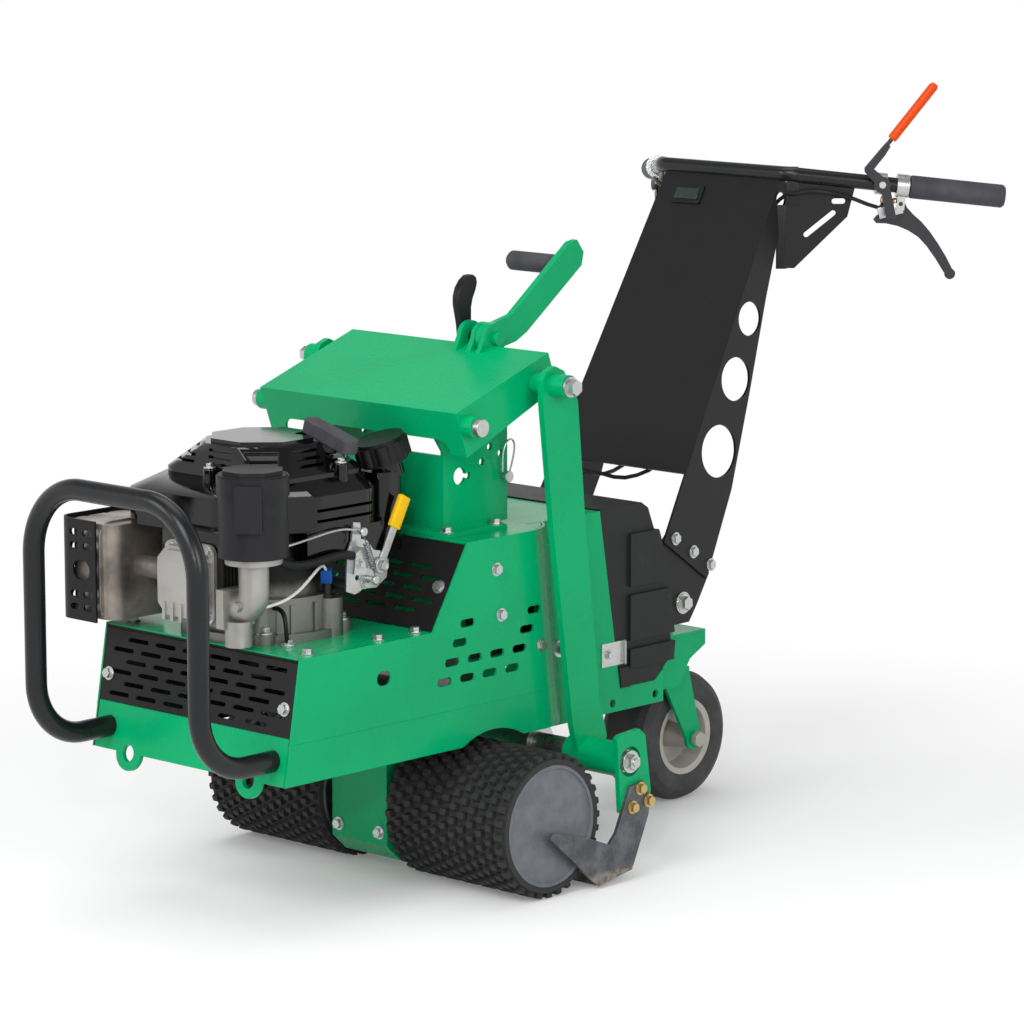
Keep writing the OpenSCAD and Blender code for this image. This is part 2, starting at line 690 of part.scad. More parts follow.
module drive_case() color(green) place() difference() {
    half = wheel_in - 13;
    plate_x(-half, 2 * half) polygon([[-80, 46], [-54, 22], [54, 22], [80, 46],
        [80, seam_z - 6], [-80, seam_z - 6]]);
    translate([0, 0, axle_z]) bar_x(-wheel_in, wheel_in, axle_r + run);
}
module transaxle() color(alloy) place() {
    translate([-inside, -24, seam_z - 6]) cube([2 * inside, 48, 30]);
    translate([0, input_y + 46, seam_z + 24]) difference() {
        block(130, 130, belt_z - 12 - seam_z - 24, 18);
        translate([0, -46, -1]) cylinder(r = 8 + run, h = 40);
    }
}
module input_pulley() color(steel) place() translate([0, input_y, 0]) {
    translate([0, 0, seam_z + 26]) cylinder(r = 8, h = belt_z + 12 - seam_z - 26);
    translate([0, 0, belt_z]) rotate_extrude() polygon([[0, -9], [input_r, -9], [input_r - 9, -4],
        [input_r - 9, 4], [input_r, 9], [0, 9]]);
}
module belt_loop(r1, r2) {
    d = input_y - eng_y;
    a = asin((r2 - r1) / norm([d, eng_x]));
    turn = atan2(d, -eng_x);
    steps = 24;
    polygon(concat(
        [for (k = [0 : steps]) let (t = turn + 90 + a + (180 - 2 * a) * k / steps)
            [eng_x, eng_y] + r1 * [cos(t), sin(t)]],
        [for (k = [0 : steps]) let (t = turn - 90 - a + (180 + 2 * a) * k / steps)
            [0, input_y] + r2 * [cos(t), sin(t)]]));
}
module drive_belt() color(rubber) place() translate([0, 0, belt_z - 3.5]) linear_extrude(7) difference() {
    belt_loop(pulley_r - 9 + 0.3 + 7, input_r - 9 + 0.3 + 7);
    belt_loop(pulley_r - 9 + 0.3, input_r - 9 + 0.3);
}

// Rear of the body and the caster
module rear_side_plates() color(green) place() both() plate_x(rear_half - rear_t, rear_t) difference() {
    polygon([[back_at(rail_z) + 44, rail_z], [back_at(body_top) + 44, body_top],
        [shroud_y + lean_at(body_top), body_top], [shroud_y + lean_at(shroud_z), shroud_z],
        [rear_end - 18, shroud_z], [rear_end, shroud_z + 14], [rear_end, rail_z]]);
    for (y = [278, 369]) translate([y, rail_z + 13]) circle(6);
}
module caster_mount() color(green) place() difference() {
    slant = mount_run;
    narrow = rear_half - mount_half;
    union() {
        translate([0, 0, rail_z]) linear_extrude(mount_top - rail_z) difference() {
            polygon([[-rear_half, rear_end], [-mount_half, rear_end + slant], [-mount_half, mount_back],
                [mount_half, mount_back], [mount_half, rear_end + slant], [rear_half, rear_end]]);
            polygon([[-rear_half + rear_t, rear_end - 1], [-rear_half + rear_t, rear_end],
                [-mount_half + rear_t, rear_end + slant], [-mount_half + rear_t, mount_back - rear_t],
                [mount_half - rear_t, mount_back - rear_t], [mount_half - rear_t, rear_end + slant],
                [rear_half - rear_t, rear_end], [rear_half - rear_t, rear_end - 1]]);
        }
        translate([-mount_half, rear_end + slant, mount_top - 8])
            cube([2 * mount_half, mount_back - rear_end - slant, 8]);
        translate([0, swivel_y, bearing_top]) cylinder(r = 30, h = mount_top - bearing_top);
        both() plate_x(mount_half - rear_t, rear_t) difference() {
            union() {
                translate([isolator_y, isolator_z]) circle(isolator_r + 3);
                translate([isolator_y - isolator_r - 3, mount_top - 10])
                    square([2 * isolator_r + 6, isolator_z - mount_top + 10]);
            }
            translate([isolator_y, isolator_z]) circle(6.2);
        }
    }
    plate_x(-rear_half - 1, 2 * rear_half + 2) polygon([[rear_end + slant + 40, rail_z - 1],
        [mount_back - 34, mount_top - 40], [mount_back + 1, mount_top - 22], [mount_back + 1, rail_z - 1]]);
    translate([0, swivel_y, bearing_top - 1]) cylinder(r = 12 + run, h = mount_top);
    for (m = [0, 1]) mirror([m, 0, 0])
        translate([mount_half + narrow / 2, rear_end + slant / 2, rail_z + 38])
            rotate([90, 90, atan2(slant, -narrow)])
            translate([0, 0, -20]) linear_extrude(40) slot(44, 14);
    plate_x(-rear_half - 1, 2 * rear_half + 2) polygon([[rear_end - 1, shroud_z + 14],
        [rear_end + slant, mount_top - 8], [rear_end + slant, mount_top + 1], [rear_end - 1, mount_top + 1]]);
}
module caster_fork() color(green) place() translate([0, swivel_y, 0]) difference() {
    union() {
        translate([0, 0, bearing_top - 12]) cylinder(r = 12, h = mount_top + 8 - bearing_top + 12);
        translate([0, 0, fork_top]) cylinder(r = 34, h = bearing_top - fork_top - 0.3);
        translate([-fork_half, -32, fork_top - 8]) cube([2 * fork_half, 70, 8]);
        both() plate_x(fork_half - fork_t, fork_t) {
            polygon([[-24, fork_top - 8], [38, fork_top - 8], [caster_trail + 16, caster_z],
                [caster_trail, caster_z - 16], [caster_trail - 16, caster_z]]);
            translate([caster_trail, caster_z]) circle(17);
        }
    }
    translate([0, caster_trail, caster_z]) bar_x(-fork_half - 1, fork_half + 1, caster_bolt_r + run);
}
module caster_rim() color([0.62, 0.61, 0.56]) place() translate([0, caster_y, caster_z]) {
    hub = fork_half - fork_t - gap;
    bar_x(-fork_half - 3, fork_half + 3, caster_bolt_r);
    both() rotate([0, 90, 0]) translate([0, 0, fork_half + 3]) cylinder(r = 12, h = 9, $fn = 6);
    rotate([0, 90, 0]) rotate_extrude() polygon([[0, -hub], [16, -hub], [19, -8], [rim_r - 14, -12],
        [rim_r - 9, -tyre_half + 4], [rim_r, -tyre_half + 2], [rim_r, -tyre_half + 6], [rim_r - 6, -tyre_half + 8],
        [rim_r - 8, 0], [rim_r - 6, tyre_half - 8], [rim_r, tyre_half - 6], [rim_r, tyre_half - 2],
        [rim_r - 9, tyre_half - 4], [rim_r - 14, 12], [19, 8], [16, hub], [0, hub]]);
}
module caster_tyre() color(rubber) place() translate([0, caster_y, caster_z]) rotate([0, 90, 0])
    rotate_extrude() polygon([[rim_r + 0.3, -tyre_half + 8], [rim_r + 0.3, -tyre_half + 2],
        [rim_r + 10, -tyre_half], [caster_r - 16, -tyre_half], [caster_r - 5, -tyre_half + 7],
        [caster_r, -tyre_half + 18], [caster_r, tyre_half - 18], [caster_r - 5, tyre_half - 7],
        [caster_r - 16, tyre_half], [rim_r + 10, tyre_half], [rim_r + 0.3, tyre_half - 2],
        [rim_r + 0.3, tyre_half - 8], [rim_r - 4, tyre_half - 14], [rim_r - 4, -tyre_half + 14]]);
function lean_at(z) = (body_top - z) * tan(shroud_lean);
module rear_shroud() color([0.2, 0.2, 0.21]) place() {
    top = body_top + 2;
    pad = 5;
    back = [[-14, top], [0, top - 9], [18, top - 53], [37, top - 127], [50, top - 205], [47, top - 235],
        [12, shroud_z]];
    outline = concat([[shroud_y + lean_at(top), top]], [for (p = back) [shroud_back + p[0], p[1]]],
        [[shroud_y + lean_at(shroud_z), shroud_z]]);
    difference() {
        union() {
            plate_x(-rear_half, 2 * rear_half) polygon(outline);
            both() for (z = [[top - 118, top - 42], [top - 196, top - 130], [top - 236, top - 208]])
                intersection() {
                    plate_x(rear_half - 46, 46 + pad) translate([pad, 0]) polygon(outline);
                    translate([0, shroud_back - 42, z[0]]) cube([2 * rear_half, 200, z[1] - z[0]]);
                }
            both() intersection() {
                plate_x(rear_half - 20, 20 + pad * 0.6) polygon(outline);
                translate([0, shroud_y + 24, shroud_z]) cube([2 * rear_half, 40, 30]);
            }
        }
        plate_x(-rear_half + shroud_t, 2 * (rear_half - shroud_t)) polygon(concat(
            [[shroud_y - 1, top - shroud_t]],
            [for (p = back) [shroud_back + p[0] - shroud_t, min(p[1], top - shroud_t)]],
            [[shroud_back + 12 - shroud_t, shroud_z - 1], [shroud_y - 1, shroud_z - 1]]));
    }
}

// Bumper, console and handle
module bumper() color(black) place() difference() {
    straight_low = bumper_foot + foot_bend;
    straight_high = bumper_top - bumper_bend;
    union() {
        both() {
            translate([bumper_x, bumper_y, straight_low])
                cylinder(r = bumper_r, h = straight_high - straight_low);
            translate([bumper_x - bumper_bend, bumper_y, straight_high]) rotate([90, 0, 0])
                rotate_extrude(angle = 90) translate([bumper_bend, 0]) circle(bumper_r);
            translate([bumper_x, bumper_y + foot_bend, straight_low]) rotate([90, 0, 90])
                rotate([0, 0, 180]) rotate_extrude(angle = 90) translate([foot_bend, 0]) circle(bumper_r);
            translate([bumper_x, bumper_y + foot_bend, bumper_foot]) rotate([-90, 0, 0])
                cylinder(r = bumper_r, h = front_y - bumper_y - foot_bend);
        }
        translate([0, bumper_y, bumper_top]) bar_x(bumper_bend - bumper_x, bumper_x - bumper_bend, bumper_r);
    }
    on_front() translate([-body_half, 0, -deck_z]) cube([2 * body_half, 200, 2 * deck_z]);
}
function edge_at(s) = console_low - s * tan(console_taper);
// One side flange of the console, an outline in Y and Z of the machine, leaning in at its top
module flange(depth, t) {
    on_console() translate([console_low, 0, 0]) rotate([0, -console_taper, 0])
        rotate([console_lean, 0, 0]) plate_x(-depth, t) translate([-console_y, -console_z]) children();
}
// A place on the console's side, in parts of the console's length
function on_side(u, v) = [console_y + console_len * u, console_z + console_len * v];
module console() color(black) place() difference() {
    lip = console_t;
    union() {
    both() flange(console_t, console_t) difference() {
        polygon([[console_y, console_z], [console_y + console_len * sin(console_lean),
            console_z + console_len * cos(console_lean)], on_side(0.5276, 0.8379), on_side(0.4621, 0.6897),
            on_side(0.419, 0.569), on_side(0.3466, 0.3397), [console_y + 154, console_z + 58],
            [console_y + 93, console_z - 65]]);
        for (h = [[0.3517, 0.5224, 25], [0.2914, 0.3759, 32], [0.219, 0.2017, 38.5]])
            translate(on_side(h[0], h[1])) circle(h[2]);
        translate(on_side(0.4879, 0.8121)) circle(11);
    }
    on_console() plate_y(0, console_t) difference() {
        polygon([[-edge_at(console_open) + lip, console_open], [-console_high + lip, console_len],
            [console_high - lip, console_len], [edge_at(console_open) - lip, console_open]]);
        translate([0, console_len - 42]) translate([-52, 0]) square([50, 24], center = true);
    }
    }
    translate([0, handle_root_y, handle_root_z]) bar_x(-body_half, body_half, bar_r + run);
}
module console_brackets() color(black) place() both()
    flange(console_t + 5, 5) difference() {
        polygon([[console_y - 8, console_z - 8], [console_y + 2, console_z - 106],
            [console_y + 10, console_z - 124], [console_y + 56, console_z - 124],
            [console_y + 72, console_z - 104], [console_y + 104, console_z - 58], [console_y + 92, console_z - 40],
            [console_y + 12, console_z + 10]]);
        translate([isolator_y, isolator_z]) circle(6.2);
    }
module console_isolators() color(rubber) place() both() difference() {
    flange(console_low, console_low - console_t - 5) translate([isolator_y, isolator_z]) difference() {
        circle(isolator_r);
        circle(6.2);
    }
    translate([mount_half - 200, 0, 0]) cube([200, 2 * isolator_y, 2 * isolator_z]);
}
module hour_meter() color(black) place() on_console()
    translate([-52, 0, console_len - 42]) {
        plate_y(0, 20) round_rect(49.4, 23.4, 3);
        plate_y(-3, 3) round_rect(56, 30, 4);
    }
module handlebar() color(black) place() {
    bend = 30;
    turn = bend * tan(handle_yaw / 2);
    translate([0, handle_root_y, handle_root_z]) bar_x(-handle_corner + turn, handle_corner - turn, bar_r);
    both() {
        translate([handle_corner - turn, handle_root_y + bend, handle_root_z])
            rotate([0, 0, -90]) rotate_extrude(angle = handle_yaw) translate([bend, 0]) circle(bar_r);
        on_handle(turn - 0.6) rotate([0, 90, 0]) cylinder(r = bar_r, h = handle_len - turn - 4);
    }
}
module handle_grips() color(rubber) place() both() on_handle(handle_len - grip_len) rotate([0, 90, 0])
    rotate_extrude() polygon([[bar_r + run, 0], [grip_r - 1, 0], [grip_r, 3], [grip_r, grip_len - 4],
        [grip_r - 3, grip_len], [0, grip_len], [0, grip_len - 3.5], [bar_r + run, grip_len - 3.5]]);
module handle_gussets() color(black) place() both() difference() {
    fall = tan(handle_pitch);
    reach = 98 * cos(handle_pitch);
    translate(handle_root) rotate([0, 0, handle_yaw]) {
        plate_y(-2, 4) difference() {
            polygon([[14, -4 - 14 * fall], [reach, -4 - reach * fall], [reach - 12, -52 - reach * fall],
                [8, -138], [-8, -138], [-4, -46 - 14 * fall], [14, -46 - 14 * fall]]);
            translate([reach * 0.46, -68 - reach * 0.46 * fall]) rotate(45 - handle_pitch) slot(58, 8);
            translate([reach * 0.74, -32 - reach * 0.74 * fall]) slot(20, 8);
        }
        translate([0, -2, -138]) cube([4, 15, 86 - 14 * fall]);
    }
    on_handle() bar_x(-20, 120, bar_r + run);
}
module lever_clamps() color(zinc) place() {
    on_handle(drive_at) {
        difference() {
            bar_x(-8, 8, bar_r + 5);
            bar_x(-9, 9, bar_r + run);
        }
        translate([0, -bar_r - 4, 0]) rotate([90, 0, 0]) cylinder(r = 5, h = 9);
    }
    both() on_handle(clamp_at) difference() {
        union() {
            bar_x(-9, 9, bar_r + 6);
            translate([-6, -7, -bar_r - 24]) cube([12, 14, 26]);
        }
        bar_x(-10, 10, bar_r + run);
        translate([-7, -2 - gap, -bar_r - 25]) cube([14, 4 + 2 * gap, 18]);
        translate([0, 0, -bar_r - 15]) rotate([90, 0, 0]) cylinder(r = 3, h = 20, center = true);
    }
}
module hand_lever() {
    on_handle(clamp_at) translate([0, 0, -bar_r - 15]) {
        plate_y(-2, 4) {
            polygon([[-6, 0.5], [-0.5, 4.8], [5, 5], [10, -4], [20, -13], [34, -23], [48, -36], [62, -52], [76, -70],
                [88, -88], [84, -96], [76, -94], [62, -76], [46, -58], [32, -46], [16, -38], [0, -33],
                [-18, -31], [-32, -32], [-37, -27], [-32, -20], [-16, -11], [-7, -5]]);
            translate([85, -95]) circle(8);
        }
        rotate([90, 0, 0]) cylinder(r = 3 - run, h = 17, center = true);
    }
}
module left_hand_lever() color(black) place() hand_lever();
module right_hand_lever() color(black) place() mirror([1, 0, 0]) hand_lever();
module drive_lever() color(black) place() on_handle(drive_at) translate([0, -bar_r - 5 - gap, 0]) {
    difference() {
        plate_y(-6, 6) {
            circle(12);
            polygon([[-12, 2], [-28, 16], [-29, 22], [-9, 52], [-2, 62], [5, 57], [-1, 44], [-15, 22],
                [11, 4]]);
            polygon([[0, -12], [12, -4], [26, -46], [12, -50]]);
        }
        rotate([90, 0, 0]) cylinder(r = 5 + run, h = 20, center = true);
    }
    translate([-3, -3, 54]) rotate([0, 32, 0]) cylinder(r = 3.2, h = orange_len + 8);
}
module drive_lever_grip() color([1, 0.33, 0.05]) place() on_handle(drive_at)
    translate([-3, -bar_r - 5 - gap - 3, 54]) rotate([0, 32, 0]) translate([0, 0, 16]) rotate_extrude()
        polygon([[3.2 + run, 0], [6.5, 0], [7, 3], [7, orange_len - 5], [4.5, orange_len], [0, orange_len],
            [0, orange_len - 5.5], [3.2 + run, orange_len - 5.5]]);

// Control cables, each swept along a smooth route through its own points
function smooth(p, i, t) = let (n = len(p) - 1, a = p[max(i - 1, 0)], b = p[i], c = p[min(i + 1, n)],
    d = p[min(i + 2, n)])
    0.5 * (2 * b + (c - a) * t + (2 * a - 5 * b + 4 * c - d) * t * t + (3 * b - a - 3 * c + d) * t * t * t);
function route(p, steps) = [for (i = [0 : len(p) - 2], s = [0 : steps - 1]) smooth(p, i, s / steps),
    p[len(p) - 1]];
module cable(points, r) {
    path = route(points, 3);
    n = len(path);
    sides = 8;
    rings = [for (i = [0 : n - 1])
        let (d = path[min(i + 1, n - 1)] - path[max(i - 1, 0)], t = d / norm(d),
            u0 = cross(t, [0.36, 0.93, 0]), u = u0 / norm(u0), v = cross(t, u))
        for (k = [0 : sides - 1]) path[i] + r * (cos(360 * k / sides) * u + sin(360 * k / sides) * v)];
    ends = [path[0], path[n - 1]];
    base = n * sides;
    polyhedron(points = concat(rings, ends), faces = concat(
        [for (i = [0 : n - 2], k = [0 : sides - 1]) let (j = (k + 1) % sides)
            each [[i * sides + k, (i + 1) * sides + k, i * sides + j],
                [i * sides + j, (i + 1) * sides + k, (i + 1) * sides + j]]],
        [for (k = [0 : sides - 1]) [base, k, (k + 1) % sides]],
        [for (k = [0 : sides - 1]) [base + 1, (n - 1) * sides + (k + 1) % sides, (n - 1) * sides + k]]));
}
handle_side = [-handle_dir[1], handle_dir[0], 0] / norm([handle_dir[0], handle_dir[1]]);
function by_handle(x, y, z) = handle_root + handle_dir * x + handle_side * y
    + cross(handle_dir, handle_side) * z;
// A place behind the console's face, in parts of the console's length
function behind(x, part, off) = [x,
    console_y + part * console_len * sin(console_lean) + off * cos(console_lean),
    console_z + part * console_len * cos(console_lean) - off * sin(console_lean)];
left_cable = [by_handle(clamp_at - 6.2, 0, -bar_r - 12), by_handle(clamp_at - 22, 0, -bar_r - 13),
    by_handle(drive_at - 3, -8, -34), by_handle(82, -11, -22), by_handle(38, -11, -20),
    behind(console_high + 23, 0.9647, 17.2), behind(console_high + 6, 0.9553, 15.7),
    behind(92, 0.9064, 22.4), behind(80, 0.7554, 25.5), behind(68, 0.5662, 34.1),
    behind(56, 0.3652, 30.5), behind(48, (console_open + 22.5) / console_len, 29), [36, 430, body_top + 14],
    [26, 372, body_top + 28], [24, 332, body_top + 22], [24, 326, body_top + 2.3]];
right_cable = [for (i = [0 : 15]) i < 8 ? [-left_cable[i][0], left_cable[i][1], left_cable[i][2]]
    : [-left_cable[i][0] * 0.3, left_cable[i][1] + 6, left_cable[i][2]]];
module control_cables() color(black) place() {
    cable(left_cable, 3);
    cable(right_cable, 3);
}

// Engine
module engine_block() color(alloy) place() on_engine() difference() {
    union() {
        cylinder(r = base_r, h = 12);
        cylinder(r = case_r, h = case_h);
        translate([0, 0, case_h]) cylinder(r = case_r - 18, h = cowl_z - case_h);
        translate([-44, -132, bore_z - 46]) cube([88, 100, 92]);
        for (i = [0 : fin_count - 1]) translate([-fin_half, -132 + i * 44 / fin_count, bore_z - 56])
            cube([2 * fin_half, 3, 98]);
        translate([60, 66, 62]) bar_x(0, bracket_x - 60, 8);
        translate([52, -60, 12]) cylinder(r = 26, h = 40);
        translate([84, 34, 0]) cylinder(r = 20, h = case_h - 6);
        for (a = [-66 : 22 : 66]) rotate(a) translate([case_r - 3, -3, 12]) cube([6, 6, case_h - 20]);
        for (a = [45 : 90 : 315]) rotate(a) translate([base_r - 4, 0, 0]) cylinder(r = 15, h = 14);
    }
    translate([0, 0, -1]) cylinder(r = crank_r + run, h = cowl_z + 2);
}
module valve_cover() color(alloy) place() on_engine() translate([0, -132, bore_z]) {
    plate_y(-6, 6) round_rect(94, 106, 14);
    for (x = [-24, -8, 8, 24]) translate([x - 2.5, -32, -50]) cube([5, 26, 24]);
    plate_y(-24, 18) intersection() {
        round_rect(86, 98, 12);
        rotate(45) square(104, center = true);
    }
    plate_y(-29, 5) intersection() {
        round_rect(76, 88, 10);
        rotate(45) square(92, center = true);
    }
}
module muffler() color([0.42, 0.39, 0.35]) place() on_engine() {
    translate([muffler_x, muffler_y, 14]) difference() {
        block(92, 104, 130, 22);
        for (y = [-18, 18]) translate([-46, y, 65]) cylinder(r = 4, h = 150, center = true);
    }
    translate([0, muffler_y, 79]) plate_x(muffler_x + 21, 3) round_rect(112, 136, 22);
    translate([0, muffler_y, bore_z]) bar_x(muffler_x + 40, -fin_half, 15);
}
module muffler_guard() color([0.12, 0.12, 0.12]) place() on_engine() {
    difference() {
        translate([muffler_x, muffler_y, 10]) block(118, 122, 138, 26);
        translate([muffler_x, muffler_y, 9]) block(112, 116, 140, 23);
        translate([muffler_x + 20, muffler_y - 100, 0]) cube([120, 240, 200]);
        for (z = [0 : 4], y = [-1 : 1])
            translate([muffler_x - 100, muffler_y + y * 28, 36 + z * 22]) bar_x(0, 90, 7);
        for (z = [28, 46, 112, 130], x = [-22, 4]) translate([muffler_x + x, 0, z])
            plate_y(muffler_y - 100, 200) slot(19, 9);
        translate([muffler_x - 9, 0, 79]) plate_y(muffler_y - 100, 200) slot(34, 26);
    }
    for (z = [47, 113]) translate([0, muffler_y, z]) bar_x(muffler_x - 57, muffler_x - 46, 6);
}
// The blower housing's outline as rounded corners, drawn in by a given amount
module cowl(draw_in, h) {
    hull() for (c = [[-116, -84, 40], [-100, 82, 40], [68, 82, 40], [70, 4, 38], [18, -82, 36]])
        translate([c[0], c[1], 0]) cylinder(r = c[2] - draw_in, h = h);
}
// The outline of the recoil cover's foot on top of the housing
module recoil_foot(h) {
    hull() for (c = [[-102, -36, 34], [-92, 82, 36], [50, 82, 36], [52, -34, 34]])
        translate([c[0], c[1], 0]) cylinder(r = c[2], h = h);
}
// The room of the starter grip and of a hand round it
module grip_room(z) {
    translate([53, 66, z]) rotate([0, 16, 0]) translate([0, 0, -0.3]) block(106, 40, 90, 12);
}
module blower_housing() color(black) place() on_engine() difference() {
    union() {
        translate([0, 0, cowl_z]) cowl(0, 46);
        hull() {
            translate([0, 0, cowl_z + 46]) cowl(0, 1);
            translate([0, 0, recoil_z - 1]) intersection() {
                cowl(10, 1);
                recoil_foot(1);
            }
        }
        translate([80, -24, 104]) cube([26, 140, cowl_z - 104]);
    }
    translate([0, 0, cowl_z + 5]) cowl(5, 40);
    translate([0, 0, cowl_z - 1]) cylinder(r = crank_r + 6, h = 200);
    for (z = [cowl_z + 12, cowl_z + 26]) translate([100, -6, z]) cube([20, 104, 4]);
}
module starter_cover() color(black) place() on_engine() difference() {
    rise = cowl_top + 18 - recoil_z;
    union() {
        hull() {
            translate([0, 0, recoil_z]) recoil_foot(6);
            translate([-16, 12, recoil_z + rise - 1]) rotate(22.5) cylinder(r = 82, h = 1, $fn = 8);
        }
        translate([-16, 12, recoil_z + rise]) rotate(22.5) cylinder(r = 74, h = 6, $fn = 8);
    }
    for (a = [0 : 45 : 315], k = [0 : 2]) translate([-16, 12, recoil_z + 16 + k * 9]) rotate(a)
        translate([74, -22, 0]) cube([60, 44, 4]);
    translate([0, 0, recoil_z - 1]) cylinder(r = crank_r + 6, h = cowl_top - recoil_z + 4);
    grip_room(cowl_top + 2.8);
}
// The frame of the filler neck on the tank
module on_neck() { translate([76, 158, 204]) rotate([16, -6, 0]) children(); }
module fuel_tank() color(black) place() on_engine() {
    translate([4, 146, 100]) block(188, 48, 108, 18);
    on_neck() translate([0, 0, -4]) cylinder(r = 22, h = 21);
}
module fuel_cap() color(black) place() on_engine() on_neck() translate([0, 0, 17.3]) {
    cylinder(r = cap_r - 4, h = 33);
    for (a = [0 : 45 : 315]) rotate(a) translate([cap_r - 11, 0, 3]) cylinder(r = 11, h = 25);
}
module air_cleaner() color([0.23, 0.23, 0.24]) place() on_engine() translate([cleaner_x, cleaner_y, cleaner_z]) {
    cylinder(r = cleaner_r - 2, h = cleaner_h - 6);
    translate([0, 0, cleaner_h - 34]) cylinder(r = cleaner_r, h = 26);
    rotate(22.5) translate([0, 0, cleaner_h - 8]) cylinder(r = cleaner_r - 6, h = 8, $fn = 8);
    rotate(-50) translate([cleaner_r - 12, -18, 38]) cube([18, 36, 62]);
}
module intake_elbow() color(alloy) place() on_engine() translate([cleaner_x, cleaner_y, 0]) {
    bend = 24;
    low = 56;
    port = fin_half - cleaner_x;
    translate([0, 0, cleaner_z - 9]) cylinder(r = 38, h = 9);
    translate([0, 0, low + bend]) cylinder(r = 20, h = cleaner_z - 9 - low - bend);
    translate([-bend, 0, low + bend]) rotate([90, 0, 0]) rotate([0, 0, -90])
        rotate_extrude(angle = 90) translate([bend, 0]) circle(20);
    translate([0, 0, low]) bar_x(port, -bend, 20);
    translate([port, -28, low - 26]) cube([14, 56, 52]);
    translate([port + 19, -6, 6]) cylinder(r = 18, h = 34);
    translate([-8, -19, low + 6]) rotate([90, 0, 0]) cylinder(r = 7, h = 8, $fn = 6);
}
module throttle_bracket() color(zinc) place() on_engine() {
    plate_x(bracket_x, 3) difference() {
        polygon([[42, 60], [58, 54], [74, 60], [98, 58], [118, 70], [122, 92], [112, 106], [94, 110],
            [82, 124], [70, 128], [69, 150], [56, 152], [53, 128], [44, 112]]);
        translate([104, 88]) circle(5 + run);
        for (p = [[62, 76], [84, 72], [62, 140]]) translate(p) circle(3.5);
    }
    plate_x(bracket_x + 3, 9) polygon([[48, 84], [70, 80], [78, 100], [66, 118], [52, 112]]);
    for (p = [[60, 96], [76, 66]]) translate([bracket_x + 12, p[0], p[1]]) rotate([0, 90, 0])
        translate([0, 0, p[0] == 60 ? 0 : -9]) bolt(5, 4);
}
module throttle_lever() color(zinc) place() on_engine() translate([0, 104, 88]) {
    plate_x(bracket_x + 3 + gap, 3) {
        circle(11);
        rotate(-28) translate([-6, 0]) square([12, 62]);
        rotate(-28) translate([-8, 56]) square([16, 40]);
    }
    bar_x(bracket_x - 2, bracket_x + 3 + gap, 5);
}
module starter_grip() color(rubber) place() on_engine() translate([53, 66, cowl_top + 2.8]) rotate([0, 16, 0]) {
    translate([0, 0, 12]) block(92, 26, 20, 9);
    cylinder(r = 9, h = 12);
}
module crankshaft() color(steel) place() on_engine() {
    translate([0, 0, belt_z - 12 - deck_z]) cylinder(r = crank_r, h = cowl_top - belt_z + 12 + deck_z);
    translate([0, 0, belt_z - deck_z]) rotate_extrude() polygon([[0, -9], [pulley_r, -9], [pulley_r - 9, -4],
        [pulley_r - 9, 4], [pulley_r, 9], [0, 9]]);
}

// Bolts and clips that hold the body together
module frame_bolts() color(zinc) place() both() {
    for (y = [-340, -210, -140]) translate([inside - 16, y, deck_z]) bolt(7, 6);
    on_front() translate([inside - 14, 0, -deck_t - 62]) rotate([90, 0, 0]) bolt(7, 6);
    for (p = [[-3, 442], [6, 378]]) translate([body_half, p[0], p[1]]) rotate([0, 90, 0]) bolt(7, 5);
    translate([body_half - roll_r, back_at(324), 324]) rotate([panel_lean, 0, 0]) rotate([0, 90, 4])
        translate([0, 0, roll_r]) bolt(7, 5);
    for (y = [-46, 50]) translate([ped_half + 14, y, body_top + ped_t]) bolt(7, 6);
    translate([rear_half, roll_end(302) + 14, 302]) rotate([0, 90, 0]) bolt(9, 8);
    translate([rear_half, roll_end(279) + 26, 276]) rotate([0, 90, 0]) bolt(6, 5);
    wall_lean = atan2(wall_head - wall_foot, body_top - deck_z);
    translate([inside - 16, wall_foot, deck_z]) rotate([-wall_lean, 0, 0]) translate([0, 0, 64])
        rotate([90, 0, 0]) bolt(7, 6);
    translate([0, -80, 64]) rotate([90, 0, 0]) translate([40, 0, 0]) bolt(7, 6);
    shroud_clip();
    flange_bolts();
}
module shroud_clip() translate([rear_half, shroud_y + lean_at(278), 278]) {
    translate([0, -32, -17]) cube([2, 50, 34]);
    translate([2, 12, -17]) cube([5, 2, 34]);
    translate([2, -18, 0]) rotate([0, 90, 0]) bolt(5, 3);
}
module flange_bolts() {
    on_console() translate([console_low, 0, 0]) rotate([0, -console_taper, 0]) rotate([console_lean, 0, 0]) {
        for (p = [[25, 2], [64, -22], [102, -46]]) translate([0, p[0], p[1]]) rotate([0, 90, 0]) bolt(7, 4);
        translate([-console_t, isolator_y - console_y, isolator_z - console_z]) rotate([0, 90, 0]) {
            translate([0, 0, -26]) cylinder(r = 6, h = 26);
            cylinder(r = 16, h = 2);
            translate([0, 0, 2]) bolt(10, 8);
        }
    }
}

side_panels();
side_skirts();
engine_deck();
front_vent();
tow_plate();
firewall_vent();
body_top_plate();
pedestal();
depth_pin();
rear_side_plates();
caster_mount();
drive_case();
transaxle();
drive_belt();
rear_shroud();
bumper();
console();
console_brackets();
console_isolators();
hour_meter();
handlebar();
handle_grips();
handle_gussets();
lever_clamps();
control_cables();
engine_block();
valve_cover();
muffler();
muffler_guard();
blower_housing();
starter_cover();
fuel_tank();
air_cleaner();
intake_elbow();
throttle_bracket();
frame_bolts();
crankshaft();
input_pulley();
drive_drums();
wheel_treads();
caster_fork();
caster_rim();
caster_tyre();
hood();
hood_pivot();
lift_lever();
lift_grip();
latch_lever();
arm_pivots();
blade_arms();
blade();
blade_bolts();
eccentric_shaft();
drive_lever();
drive_lever_grip();
left_hand_lever();
right_hand_lever();
throttle_lever();
fuel_cap();
starter_grip();
